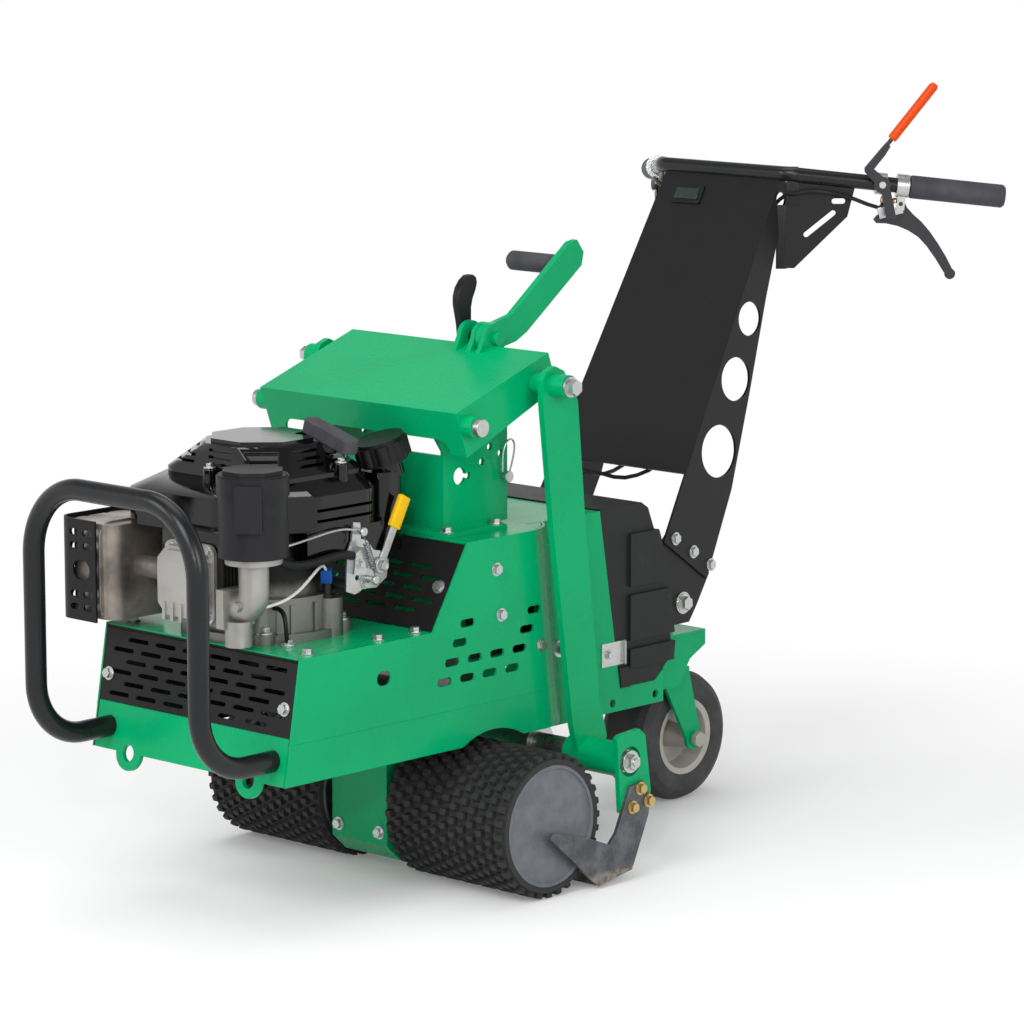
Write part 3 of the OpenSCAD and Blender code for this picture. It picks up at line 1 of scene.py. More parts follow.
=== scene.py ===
"""Looks of a walk-behind sod cutter: its finishes, small fittings, studio and camera."""

import logging
import math
from dataclasses import dataclass, field
from enum import Enum
from typing import Any, Callable, Sequence

import bpy
from mathutils import Matrix, Vector


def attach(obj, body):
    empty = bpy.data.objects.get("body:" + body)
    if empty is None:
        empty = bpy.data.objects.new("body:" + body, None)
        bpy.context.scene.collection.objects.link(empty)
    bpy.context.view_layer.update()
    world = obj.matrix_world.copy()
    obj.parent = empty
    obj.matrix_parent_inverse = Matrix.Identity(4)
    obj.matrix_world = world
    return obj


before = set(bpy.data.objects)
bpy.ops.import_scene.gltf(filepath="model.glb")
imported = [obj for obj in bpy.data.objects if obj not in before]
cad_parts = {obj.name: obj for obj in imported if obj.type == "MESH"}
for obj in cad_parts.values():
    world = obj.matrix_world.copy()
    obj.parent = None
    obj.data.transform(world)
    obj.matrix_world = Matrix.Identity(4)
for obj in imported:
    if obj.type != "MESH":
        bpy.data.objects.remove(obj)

LOG = logging.getLogger("sod_cutter")
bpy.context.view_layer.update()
MID_Y = 195.255
MM = 1000
UP = (0.0, 0.0, 1.0)
PICTURE = 1024
SENSOR = 36.0
Colour = tuple[float, float, float, float]
Place = tuple[float, float, float]
Path = tuple[Place, ...]
Rings = tuple[tuple[float, float], ...]


def tone(code: str) -> Colour:
    """Turn a screen colour into the linear colour a shader takes.

    Args:
        code: six hexadecimal digits.

    Returns:
        Linear red, green, blue and an alpha of one.
    """
    parts = [int(code[i : i + 2], 16) / 255 for i in (0, 2, 4)]
    linear = [p / 12.92 if p <= 0.04045 else ((p + 0.055) / 1.055) ** 2.4 for p in parts]
    return (linear[0], linear[1], linear[2], 1.0)


def shade(colour: Colour, factor: float) -> Colour:
    """Return the colour made lighter or darker by a factor."""
    return (colour[0] * factor, colour[1] * factor, colour[2] * factor, 1.0)


def spot(x: float, y: float, z: float) -> Vector:
    """Return a place given in the machine's millimetres as metres of the part's frame."""
    return Vector((x, y - MID_Y, z)) / MM


class Sock:
    """A shader socket that takes part in Python expressions."""

    def __init__(self, graph: "Graph", socket: bpy.types.NodeSocket) -> None:
        """Keep the graph that the socket belongs to, and the socket."""
        self.graph = graph
        self.socket = socket

    def __add__(self, other: Any) -> "Sock":
        """Return the sum."""
        return self.graph.math("ADD", self, other)

    def __radd__(self, other: Any) -> "Sock":
        """Return the sum, the socket standing second."""
        return self.graph.math("ADD", other, self)

    def __sub__(self, other: Any) -> "Sock":
        """Return the difference."""
        return self.graph.math("SUBTRACT", self, other)

    def __rsub__(self, other: Any) -> "Sock":
        """Return the difference, the socket standing second."""
        return self.graph.math("SUBTRACT", other, self)

    def __mul__(self, other: Any) -> "Sock":
        """Return the product."""
        return self.graph.math("MULTIPLY", self, other)

    def __rmul__(self, other: Any) -> "Sock":
        """Return the product, the socket standing second."""
        return self.graph.math("MULTIPLY", other, self)

    def ramp(self, low: float, high: float) -> "Sock":
        """Return zero below one value, one above the other, and a smooth rise between."""
        settings = {"interpolation_type": "SMOOTHSTEP"}
        return self.graph.node("ShaderNodeMapRange", settings, {0: self, 1: low, 2: high, 3: 0.0, 4: 1.0})


class Graph:
    """The node tree of one material or of the world, filled by expressions."""

    def __init__(self, owner: Any) -> None:
        """Empty the owner's tree and keep both."""
        self.owner = owner
        owner.use_nodes = True
        self.tree = owner.node_tree
        self.tree.nodes.clear()

    def node(self, kind: str, settings: dict[str, Any] | None = None,
             sockets: dict[Any, Any] | None = None, out: Any = 0) -> Sock:
        """Add a node.

        Args:
            kind: the node's type.
            settings: its own settings, and "stops" for a ramp, set before the sockets.
            sockets: values or links for its inputs, by name or number.
            out: the output to return.

        Returns:
            The output as a socket for expressions.
        """
        node = self.tree.nodes.new(kind)
        for key, value in (settings or {}).items():
            if key == "stops":
                elements = node.color_ramp.elements
                while len(elements) < len(value):
                    elements.new(0.5)
                for element, (place, colour) in zip(elements, value):
                    element.position = place
                    element.color = colour
            else:
                setattr(node, key, value)
        for key, value in (sockets or {}).items():
            if isinstance(value, Sock):
                self.tree.links.new(value.socket, node.inputs[key])
            else:
                node.inputs[key].default_value = value
        return Sock(self, node.outputs[out] if node.outputs else None)

    def math(self, operation: str, first: Any, second: Any) -> Sock:
        """Add a Math node on two values."""
        return self.node("ShaderNodeMath", {"operation": operation}, {0: first, 1: second})

    def mix(self, factor: Any, first: Any, second: Any) -> Sock:
        """Mix two colours."""
        return self.node("ShaderNodeMix", {"data_type": "RGBA"}, {0: factor, 6: first, 7: second}, 2)

    def place(self, scale: Sequence[float] = (1, 1, 1)) -> Sock:
        """Return the piece's own coordinates, stretched along the axes."""
        coords = self.node("ShaderNodeTexCoord", out="Object")
        if tuple(scale) == (1, 1, 1):
            return coords
        return self.node("ShaderNodeMapping", {}, {"Vector": coords, "Scale": scale})

    def noise(self, scale: float, detail: float = 3.0, rough: float = 0.55,
              stretch: Sequence[float] = (1, 1, 1)) -> Sock:
        """Return soft noise at so many waves a metre, stretched along the axes."""
        sockets = {"Vector": self.place(stretch), "Scale": scale, "Detail": detail, "Roughness": rough}
        return self.node("ShaderNodeTexNoise", {}, sockets)

    def cells(self, scale: float) -> Sock:
        """Return the distance to the nearest of so many grains a metre."""
        return self.node("ShaderNodeTexVoronoi", {}, {"Vector": self.place(), "Scale": scale})

    def axis(self, name: str) -> Sock:
        """Return one of the piece's own coordinates in metres."""
        return self.node("ShaderNodeSeparateXYZ", {}, {0: self.place()}, name)

    def edges(self, radius: float) -> Sock:
        """Return a mask that is one on sharp edges and zero on flats."""
        soft = self.node("ShaderNodeBevel", {"samples": 4}, {"Radius": radius})
        flat = self.node("ShaderNodeNewGeometry", out="Normal")
        same = self.node("ShaderNodeVectorMath", {"operation": "DOT_PRODUCT"}, {0: soft, 1: flat}, "Value")
        return (1.0 - same).ramp(0.02, 0.2)

    def bump(self, height: Any, strength: float, distance: float) -> Sock:
        """Return a normal raised by a height."""
        return self.node("ShaderNodeBump", {}, {"Strength": strength, "Distance": distance, "Height": height})

    def surface(self, base: Any, rough: Any, metal: Any = 0.0, normal: Sock | None = None,
                **constants: Any) -> bpy.types.Material:
        """Close the material with a principled surface.

        Args:
            base: colour, or a socket of it.
            rough: roughness, or a socket of it.
            metal: metallic share, or a socket of it.
            normal: bumped normal.
            constants: plain values of other sockets, underscores for spaces.

        Returns:
            The finished material.
        """
        sockets = {"Base Color": base, "Roughness": rough, "Metallic": metal}
        sockets.update({key.replace("_", " "): value for key, value in constants.items()})
        if normal is not None:
            sockets["Normal"] = normal
        shader = self.node("ShaderNodeBsdfPrincipled", {}, sockets)
        self.node("ShaderNodeOutputMaterial", {}, {"Surface": shader})
        return self.owner


@dataclass(frozen=True)
class Finish:
    """A named finish that makes its material once.

    Attributes:
        name: the material's name.
        colour: main colour.
        rough: middle roughness.
        grain: strength of the surface's texture.
    """

    name: str
    colour: str
    rough: float = 0.4
    grain: float = 0.2

    def material(self) -> bpy.types.Material:
        """Return the material, made at the first call."""
        known = bpy.data.materials.get(self.name)
        return known or self.build(Graph(bpy.data.materials.new(self.name)))

    def build(self, graph: Graph) -> bpy.types.Material:
        """Fill the graph. Each kind of finish has its own way."""
        raise NotImplementedError


@dataclass(frozen=True)
class PowderCoat(Finish):
    """Sprayed and baked paint with a faint orange peel and fine dark specks.

    Attributes:
        coat: weight of the clear coat.
        gleam: strength of the mirror image.
    """

    coat: float = 0.25
    gleam: float = 0.4

    def colouring(self, graph: Graph) -> Sock:
        """Return the slightly mottled colour."""
        main = tone(self.colour)
        base = graph.mix(graph.noise(5, 2).ramp(0.3, 0.7), shade(main, 0.93), shade(main, 1.05))
        speck = graph.noise(900, 1).ramp(0.66, 0.78)
        return graph.mix(speck * 0.12, base, shade(main, 0.7))

    def build(self, graph: Graph) -> bpy.types.Material:
        """Raise the peel under the colour."""
        peel = graph.noise(420, 2) + 0.35 * graph.noise(1300, 1)
        rough = self.rough + 0.1 * (graph.noise(38, 3) - 0.5)
        normal = graph.bump(peel, self.grain, 0.0006)
        return graph.surface(self.colouring(graph), rough, normal=normal, Specular_IOR_Level=self.gleam,
                             Coat_Weight=self.coat, Coat_Roughness=0.1)


@dataclass(frozen=True)
class ShadedShellCoat(PowderCoat):
    """Body paint over a shell whose inside is darkened to a very dark green as painted shade.

    Attributes:
        reach: how far from the middle plane a face still counts as inside, in metres.
        low: height above which a face counts as inside, in metres.
        high: height below which a face counts as inside, in metres.
        back: place along the machine up to which a face counts as inside, in metres.
    """

    reach: float = 2.0
    low: float = -1.0
    high: float = 2.0
    back: float = 2.0

    def colouring(self, graph: Graph) -> Sock:
        """Return the paint, with painted shade on the inside."""
        soft = 0.0006
        beside = graph.math("ABSOLUTE", graph.axis("X"), 0.0)
        height = graph.axis("Z")
        # Painted shade: faces within the given bounds are mixed to a very dark green.
        inside = (1.0 - beside.ramp(self.reach - soft, self.reach + soft)) \
            * height.ramp(self.low - soft, self.low + soft) \
            * (1.0 - height.ramp(self.high - soft, self.high + soft)) \
            * (1.0 - graph.axis("Y").ramp(self.back - soft, self.back + soft))
        return graph.mix(inside, super().colouring(graph), tone("0e1210"))


@dataclass(frozen=True)
class Moulded(Finish):
    """Moulded plastic with a fine eroded texture and faint flow marks.

    Attributes:
        dust: how much dust lies in the texture.
        gleam: strength of the mirror image.
    """

    dust: float = 0.1
    gleam: float = 0.25

    def build(self, graph: Graph) -> bpy.types.Material:
        """Raise the texture and lay a little dust in it."""
        main = tone(self.colour)
        flow = graph.noise(9, 3, stretch=(1, 1, 0.4))
        base = graph.mix(flow.ramp(0.3, 0.7), shade(main, 0.85), shade(main, 1.15))
        base = graph.mix(graph.noise(60, 4).ramp(0.55, 0.8) * self.dust, base, tone("6b675f"))
        pits = graph.cells(1400) + 0.6 * graph.noise(700, 2)
        rough = self.rough + 0.12 * (graph.noise(30, 4) - 0.5)
        normal = graph.bump(pits, self.grain, 0.0004)
        return graph.surface(base, rough, normal=normal, Specular_IOR_Level=self.gleam)


@dataclass(frozen=True)
class Gloss(Finish):
    """Smooth glossy plastic or enamel with a slow ripple and fine dust.

    Attributes:
        gleam: strength of the mirror image.
        film: how much the dust pales the colour.
    """

    gleam: float = 0.3
    film: float = 0.05

    def build(self, graph: Graph) -> bpy.types.Material:
        """Ripple the gloss and dull it where dust lies."""
        main = tone(self.colour)
        film = graph.noise(22, 4).ramp(0.5, 0.85)
        base = graph.mix(film * self.film, main, tone("77746c"))
        rough = self.rough + 0.14 * film + 0.04 * graph.noise(240, 2)
        ripple = graph.noise(34, 2) + 0.05 * graph.noise(900, 1)
        normal = graph.bump(ripple, self.grain, 0.0008)
        return graph.surface(base, rough, normal=normal, Specular_IOR_Level=self.gleam)


@dataclass(frozen=True)
class Elastomer(Finish):
    """Rubber with a dry bloom, and dust in random patches.

    Attributes:
        dust: how much dust lies on it.
        gleam: strength of the mirror image.
        dirt: the dust's colour.
    """

    dust: float = 0.3
    gleam: float = 0.25
    dirt: str = "6d6558"

    def build(self, graph: Graph) -> bpy.types.Material:
        """Mottle the rubber and dust it."""
        main = tone(self.colour)
        bloom = graph.noise(26, 4)
        base = graph.mix(bloom.ramp(0.3, 0.75), shade(main, 0.75), shade(main, 1.25))
        dust = graph.noise(70, 5, 0.7).ramp(0.48, 0.75) * self.dust
        base = graph.mix(dust, base, tone(self.dirt))
        rough = self.rough + 0.15 * dust + 0.1 * (graph.noise(200, 2) - 0.5)
        rind = graph.noise(520, 3) + 0.4 * graph.cells(900)
        normal = graph.bump(rind, self.grain, 0.0006)
        return graph.surface(base, rough, normal=normal, Specular_IOR_Level=self.gleam)


@dataclass(frozen=True)
class Plated(Finish):
    """Plated steel: bright, slightly cloudy, with a tinge that drifts over it.

    Attributes:
        tinge: the colour that drifts over the plating.
    """

    tinge: str = "b9b49a"

    def build(self, graph: Graph) -> bpy.types.Material:
        """Drift the tinge and cloud the gloss."""
        cloud = graph.noise(120, 4)
        base = graph.mix(cloud.ramp(0.35, 0.75) * 0.55, tone(self.colour), tone(self.tinge))
        base = graph.mix(graph.noise(420, 3).ramp(0.62, 0.8) * 0.35, base, tone("6c6a66"))
        rough = self.rough + 0.2 * (graph.noise(260, 3) - 0.5)
        draw = graph.noise(600, 2, stretch=(1, 1, 0.15))
        return graph.surface(base, rough, 0.9, graph.bump(draw, self.grain, 0.0003))


@dataclass(frozen=True)
class CastMetal(Finish):
    """Sand or die cast light metal, pebbled, stained, and with painted shade that turns it dark grey above a
    height.

    Attributes:
        metal: metallic share.
        darkening: height in metres above which painted shade turns the metal dark grey.
    """

    metal: float = 0.75
    darkening: float = 9.0

    def build(self, graph: Graph) -> bpy.types.Material:
        """Pebble the skin, stain it, and paint shade on it above the given height."""
        main = tone(self.colour)
        stain = graph.noise(18, 5, 0.65).ramp(0.42, 0.75)
        base = graph.mix(stain * 0.5, main, shade(main, 0.6))
        base = graph.mix(graph.noise(330, 3).ramp(0.6, 0.8) * 0.25, base, shade(main, 1.25))
        # Painted shade: above the given height the metal turns dark grey and rougher, standing in for the
        # shade under the cowl.
        cowl_shade = (graph.axis("Z") + 0.02 * (graph.noise(30, 4) - 0.5)).ramp(self.darkening, self.darkening + 0.02)
        base = graph.mix(cowl_shade * 0.9, base, tone("1b1b1c"))
        pebble = graph.cells(620) + 0.8 * graph.noise(380, 3)
        rough = self.rough + 0.18 * (graph.noise(90, 4) - 0.5) + 0.25 * cowl_shade
        return graph.surface(base, rough, self.metal, graph.bump(pebble, self.grain, 0.0005))


@dataclass(frozen=True)
class BladeSteel(Finish):
    """Hardened blade: dark mill scale, ground bright and stained brown toward its cutting edge."""

    def build(self, graph: Graph) -> bpy.types.Material:
        """Grind the low edge and scratch along the travel."""
        low = 1.0 - graph.axis("Z").ramp(0.006, 0.034)
        patch = graph.noise(40, 5, 0.7)
        worn = (low * 1.1 + 0.5 * (patch - 0.5)).ramp(0.25, 0.8)
        scale = graph.mix(patch.ramp(0.35, 0.7), tone(self.colour), tone("6b6c70"))
        ground = graph.mix(graph.noise(85, 4).ramp(0.4, 0.7), tone("95908a"), tone("6b4a34"))
        base = graph.mix(worn * 0.85, scale, ground)
        base = graph.mix(graph.edges(0.0015) * 0.5, base, tone("a39a90"))
        lines = graph.noise(150, 4, 0.7, (1, 0.08, 1.6))
        rough = self.rough + 0.25 * (lines - 0.5)
        return graph.surface(base, rough, 0.55, graph.bump(lines + 0.4 * patch, self.grain, 0.0006))


@dataclass(frozen=True)
class DrumPaint(Finish):
    """Grey paint on the drum's end, scuffed in rings by the ground."""

    def build(self, graph: Graph) -> bpy.types.Material:
        """Rub rings into the paint and smear soil over it."""
        main = tone(self.colour)
        rings = graph.noise(46, 4, 0.6, (0.2, 1, 1))
        smear = graph.noise(14, 5, 0.7)
        base = graph.mix(rings.ramp(0.35, 0.7), shade(main, 0.85), shade(main, 1.12))
        base = graph.mix(smear.ramp(0.52, 0.8) * 0.35, base, tone("7f776a"))
        base = graph.mix(graph.edges(0.002) * 0.45, base, tone("9a9a9c"))
        rough = self.rough + 0.2 * (smear - 0.5)
        peel = graph.noise(500, 2) + 0.4 * rings
        return graph.surface(base, rough, 0.1, graph.bump(peel, self.grain, 0.0005))


@dataclass(frozen=True)
class HeatTinted(Finish):
    """Exhaust sheet: bronze heat tints over dull steel, with soot."""

    def build(self, graph: Graph) -> bpy.types.Material:
        """Blend the tints by slow noise."""
        drift = graph.noise(13, 3)
        main = tone(self.colour)
        stops = [(0.3, shade(main, 0.3)), (0.48, shade(main, 0.62)), (0.6, main), (0.75, shade(main, 0.4))]
        tint = graph.node("ShaderNodeValToRGB", {"stops": stops}, {0: drift})
        darkening = graph.noise(34, 5, 0.7).ramp(0.52, 0.8)
        base = graph.mix(darkening * 0.35, tint, tone("2b2825"))
        rough = self.rough + 0.25 * (darkening - 0.3)
        return graph.surface(base, rough, 0.6, graph.bump(graph.noise(300, 3), self.grain, 0.0004),
                             Specular_IOR_Level=0.3)


GREEN = ("00a86a", 0.28, 0.1, 0.12, 0.1)


class Paint(Enum):
    """The finishes of this machine, by what they cover."""

    BODY = PowderCoat("body_green", *GREEN)
    # Painted shade: the shell paint darkens the panels' and skirts' inner faces, the deck paint the deck
    # below 0.37 m, the case paint the drive case above 0.215 m.
    SHADED_SHELL = ShadedShellCoat("shell_green_shaded_inside", *GREEN, reach=0.187, back=-0.23)
    SHADED_DECK = ShadedShellCoat("deck_green_shaded_under", *GREEN, high=0.37)
    CASE = ShadedShellCoat("case_green_shaded_top", *GREEN, low=0.215)
    TUBE = PowderCoat("tube_black", "17181a", 0.28, 0.14, 0.06, 0.32)
    LEVER = PowderCoat("lever_black", "2e2d31", 0.36, 0.16, 0.0, 0.34)
    PLATE = PowderCoat("plate_black", "151516", 0.38, 0.2, 0.0, 0.27)
    GRILLE = PowderCoat("grille_black", "191819", 0.46, 0.2, 0.0, 0.22)
    SHROUD = Moulded("shroud_plastic", "252726", 0.46, 0.22, 0.06, 0.2)
    CANISTER = Moulded("canister_plastic", "1f1f21", 0.42, 0.2, 0.05, 0.2)
    KNOB = Moulded("knob_plastic", "141416", 0.36, 0.2, 0.05, 0.25)
    HOUSING = Gloss("housing_black", "060607", 0.08, 0.1, 0.45, 0.02)
    ORANGE = Gloss("grip_orange", "e04a08", 0.3, 0.06, 0.16, 0.0)
    YELLOW = Gloss("lever_yellow", "f2c010", 0.32, 0.06, 0.2, 0.0)
    BLUE = Gloss("plug_blue", "1f56a8", 0.4, 0.06, 0.2)
    DISPLAY = Gloss("meter_display", "2b3630", 0.06, 0.02, 0.5)
    WHITE = Gloss("wire_white", "e9e7e0", 0.4, 0.05, 0.3)
    GRIP = Elastomer("grip_rubber", "45454a", 0.6, 0.3, 0.06)
    TREAD = Elastomer("tread_rubber", "232324", 0.44, 0.35, 0.22, 0.5)
    TYRE = Elastomer("tyre_rubber", "444445", 0.64, 0.3, 0.2)
    ISOLATOR = Elastomer("isolator_rubber", "1c1c1e", 0.6, 0.25, 0.1)
    CABLE = Elastomer("cable_sheath", "161618", 0.42, 0.1, 0.05)
    ZINC = Plated("zinc_plate", "c3c6c9", 0.3, 0.08)
    GOLD = Plated("gold_zinc", "ad957c", 0.34, 0.1, "8a6650")
    SHAFT = Plated("shaft_steel", "8d8f93", 0.32, 0.1, "6f6a63")
    CAST = CastMetal("cast_alloy", "a5a49f", 0.46, 0.3)
    # Painted shade: the block turns dark grey above 0.432 m, where the cowl shades it.
    BLOCK = CastMetal("block_alloy_shaded_top", "7d7c78", 0.42, 0.3, 0.8, 0.432)
    COVER = CastMetal("cover_alloy", "b3b2ae", 0.44, 0.2, 0.7)
    RIM = CastMetal("rim_paint", "b4b0a8", 0.46, 0.12, 0.1)
    DRUM = DrumPaint("drum_grey", "686c72", 0.46, 0.14)
    BLADE = BladeSteel("blade_steel", "4b4c51", 0.46, 0.35)
    EXHAUST = HeatTinted("exhaust_sheet", "a79f96", 0.42, 0.2)


class Bench:
    """Modelling by hand: the few operations that the fittings share."""

    @staticmethod
    def clear() -> None:
        """Leave edit mode and deselect everything."""
        if bpy.context.object and bpy.context.object.mode != "OBJECT":
            bpy.ops.object.mode_set(mode="OBJECT")
        bpy.ops.object.select_all(action="DESELECT")

    @staticmethod
    def active(obj: bpy.types.Object) -> bpy.types.Object:
        """Select one object alone and make it the active one."""
        Bench.clear()
        obj.select_set(True)
        bpy.context.view_layer.objects.active = obj
        return obj

    @staticmethod
    def dress(obj: bpy.types.Object, paint: Paint) -> None:
        """Give an object one finish."""
        obj.data.materials.clear()
        obj.data.materials.append(paint.value.material())

    @staticmethod
    def pick(obj: bpy.types.Object, rule: Callable[[bpy.types.MeshPolygon], bool]) -> None:
        """Select the faces of an object that a rule picks, and enter edit mode on them.

        Args:
            obj: the object.
            rule: true for a face to select.
        """
        Bench.active(obj)
        bpy.ops.object.mode_set(mode="EDIT")
        bpy.ops.mesh.select_mode(type="FACE")
        bpy.ops.mesh.select_all(action="DESELECT")
        bpy.ops.object.mode_set(mode="OBJECT")
        for face in obj.data.polygons:
            face.select = rule(face)
        bpy.ops.object.mode_set(mode="EDIT")

    @staticmethod
    def turned(name: str, rings: Sequence[tuple[float, float]], sides: int = 24) -> bpy.types.Object:
        """Draw a piece up from a disc, ring by ring, as on a lathe.

        Args:
            name: the piece's name.
            rings: height and radius of each ring in millimetres, from the foot up.
            sides: corners of the disc.

        Returns:
            The closed piece, upright at the origin.
        """
        Bench.clear()
        foot, radius = (value / MM for value in rings[0])
        bpy.ops.mesh.primitive_circle_add(vertices=sides, radius=radius, fill_type="NGON",
                                          location=(0, 0, foot))
        obj = bpy.context.object
        obj.name = name
        bpy.ops.object.mode_set(mode="EDIT")
        bpy.ops.mesh.select_mode(type="VERT")
        bpy.ops.mesh.select_all(action="SELECT")
        for (low, inner), (high, outer) in zip(rings, rings[1:]):
            rise, grow = (high - low) / MM, outer / inner
            bpy.ops.mesh.extrude_region_move(TRANSFORM_OT_translate={"value": (0, 0, rise)})
            bpy.ops.transform.resize(value=(grow, grow, 1), center_override=(0, 0, 0))
        bpy.ops.mesh.select_non_manifold(extend=False)
        bpy.ops.mesh.edge_face_add()
        bpy.ops.mesh.select_all(action="SELECT")
        bpy.ops.mesh.normals_make_consistent(inside=False)
        bpy.ops.object.mode_set(mode="OBJECT")
        bpy.ops.object.transform_apply(location=True, rotation=True, scale=True)
        return obj

    @staticmethod
    def block(name: str, size: Sequence[float], top: float) -> bpy.types.Object:
        """Shape a block that stands on the origin and draws in toward its top.

        Args:
            name: the piece's name.
            size: width, depth and height in millimetres.
            top: share of the width and depth that is left at the top.

        Returns:
            The block.
        """
        Bench.clear()
        width, depth, height = (value / MM for value in size)
        bpy.ops.mesh.primitive_cube_add(size=1, location=(0, 0, height / 2), scale=(width, depth, height))
        obj = bpy.context.object
        obj.name = name
        bpy.ops.object.transform_apply(location=True, rotation=True, scale=True)
        Bench.pick(obj, lambda face: face.normal.z > 0.9)
        bpy.ops.mesh.inset(thickness=min(width, depth) / 8, depth=0)
        bpy.ops.transform.resize(value=(top, top, 1), center_override=(0, 0, height))
        bpy.ops.object.mode_set(mode="OBJECT")
        return obj

    @staticmethod
    def rod(name: str, path: Sequence[Vector], radius: float, smooth: bool = True) -> bpy.types.Object:
        """Bend a round rod, tube or wire along a path.

        Args:
            name: the piece's name.
            path: its places in metres.
            radius: its radius in millimetres.
            smooth: a soft bend instead of straight runs.

        Returns:
            The rod as a mesh with closed ends.
        """
        Bench.clear()
        bpy.ops.curve.primitive_nurbs_path_add(location=(0, 0, 0))
        obj = bpy.context.object
        obj.name = name
        obj.data.splines.clear()
        line = obj.data.splines.new("NURBS" if smooth else "POLY")
        line.points.add(len(path) - 1)
        for point, place in zip(line.points, path):
            point.co = (*place, 1)
        line.use_endpoint_u = True
        line.order_u = min(4, len(path))
        line.resolution_u = 6
        obj.data.bevel_depth = radius / MM
        obj.data.bevel_resolution = 2
        obj.data.use_fill_caps = True
        bpy.ops.object.convert(target="MESH")
        return obj

    @staticmethod
    def finish(obj: bpy.types.Object, paint: Paint, edge: float = 0.0) -> bpy.types.Object:
        """Close a modelled piece: faces outwards, edges broken, smooth where it is round.

        Args:
            obj: the piece.
            paint: its finish.
            edge: width of its broken edges in millimetres.

        Returns:
            The same piece.
        """
        Bench.active(obj)
        bpy.ops.object.mode_set(mode="EDIT")
        bpy.ops.mesh.select_all(action="SELECT")
        bpy.ops.mesh.remove_doubles(threshold=0.000002)
        bpy.ops.mesh.normals_make_consistent(inside=False)
        bpy.ops.object.mode_set(mode="OBJECT")
        if edge > 0:
            bevel = obj.modifiers.new("edge", "BEVEL")
            bevel.width = edge / MM
            bevel.segments = 3
            bevel.limit_method = "ANGLE"
            bevel.angle_limit = math.radians(30)
            bpy.ops.object.modifier_apply(modifier="edge")
        bpy.ops.object.shade_smooth_by_angle(angle=math.radians(38))
        Bench.dress(obj, paint)
        return obj

    @staticmethod
    def put(obj: bpy.types.Object, place: Vector, axis: Sequence[float], body: str,
            spin: float = 0.0) -> bpy.types.Object:
        """Stand a piece on a place along an axis, with its place in its mesh, and let it ride.

        Args:
            obj: the piece, modelled standing on the origin.
            place: where its foot goes, in metres.
            axis: where its top points.
            body: the moving body that carries it.
            spin: its turn about the axis in degrees.

        Returns:
            The same piece.
        """
        turn = Vector(axis).to_track_quat("Z", "Y").to_matrix().to_4x4()
        obj.matrix_world = Matrix.Translation(place) @ turn @ Matrix.Rotation(math.radians(spin), 4, "Z")
        Bench.active(obj)
        bpy.ops.object.transform_apply(location=True, rotation=True, scale=True)
        return Bench.seat(obj, body)

    @staticmethod
    def seat(obj: bpy.types.Object, body: str) -> bpy.types.Object:
        """Let a piece that is already in its place ride on a body, and report it."""
        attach(obj, body)
        LOG.info("%s on %s", obj.name, body)
        return obj

    @staticmethod
    def twins(obj: bpy.types.Object, places: Sequence[Vector], axis: Sequence[float], body: str) -> None:
        """Put one copy of a modelled piece at each place, each with a mesh of its own."""
        for number, place in enumerate(places):
            last = number == len(places) - 1
            twin = obj if last else obj.copy()
            if not last:
                twin.data = obj.data.copy()
                twin.name = f"{obj.name}_{number}"
                bpy.context.scene.collection.objects.link(twin)
            Bench.put(twin, place, axis, body)

    @staticmethod
    def screw(name: str, size: float, paint: Paint) -> bpy.types.Object:
        """Model a hexagon screw head with its washer.

        Args:
            name: the piece's name.
            size: radius over the hexagon's corners in millimetres.
            paint: its finish.

        Returns:
            The screw, standing on the origin.
        """
        rings = [(-0.3, 1.5), (0.22, 1.5), (0.3, 1.42), (0.3, 1.0)]
        washer = Bench.turned(name + "_washer", [(h * size, r * size) for h, r in rings], 28)
        rings = [(0.25, 0.97), (1.05, 0.97), (1.2, 0.84), (1.2, 0.66), (1.12, 0.56)]
        head = Bench.turned(name, [(h * size, r * size) for h, r in rings], 6)
        Bench.active(head)
        washer.select_set(True)
        bpy.ops.object.join()
        return Bench.finish(head, paint, 0.05 * size)

    @staticmethod
    def round_node(name: str, width: float) -> None:
        """Break the sharp edges of a CAD node by live modifiers.

        The flat faces are joined first, because long thin triangles would spoil the edges' shading.

        Args:
            name: the node.
            width: width of the broken edge in millimetres.
        """
        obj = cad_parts[name]
        obj.data.polygons.foreach_set("use_smooth", [True] * len(obj.data.polygons))
        weld = obj.modifiers.new("weld", "WELD")
        weld.merge_threshold = 0.00002
        flat = obj.modifiers.new("flat", "DECIMATE")
        flat.decimate_type = "DISSOLVE"
        flat.angle_limit = math.radians(0.4)
        bevel = obj.modifiers.new("edge", "BEVEL")
        bevel.width = width / MM
        bevel.segments = 2
        bevel.limit_method = "ANGLE"
        bevel.angle_limit = math.radians(32)
        facing = obj.modifiers.new("facing", "WEIGHTED_NORMAL")
        facing.mode = "FACE_AREA"
        facing.weight = 100


@dataclass
class Group:
    """A sub-assembly: the finish of each of its CAD nodes, and how far their edges are broken.

    Attributes:
        paints: finish by node.
        edges: width of the broken edges by node, in millimetres, zero to leave them.
        usual_edge: that width for a node that edges doesn't name.
    """

    paints: dict[str, Paint] = field(default_factory=dict)
    edges: dict[str, float] = field(default_factory=dict)
    usual_edge: float = 0.8

    def dress(self) -> None:
        """Finish every node of the group."""
        for name, paint in self.paints.items():
            Bench.dress(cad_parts[name], paint)
            width = self.edges.get(name, self.usual_edge)
            if width > 0:
                Bench.round_node(name, width)
            LOG.info("%s: %s", name, paint.name.lower())

    def build(self) -> None:
        """Dress the nodes. A group with fittings adds them."""
        self.dress()


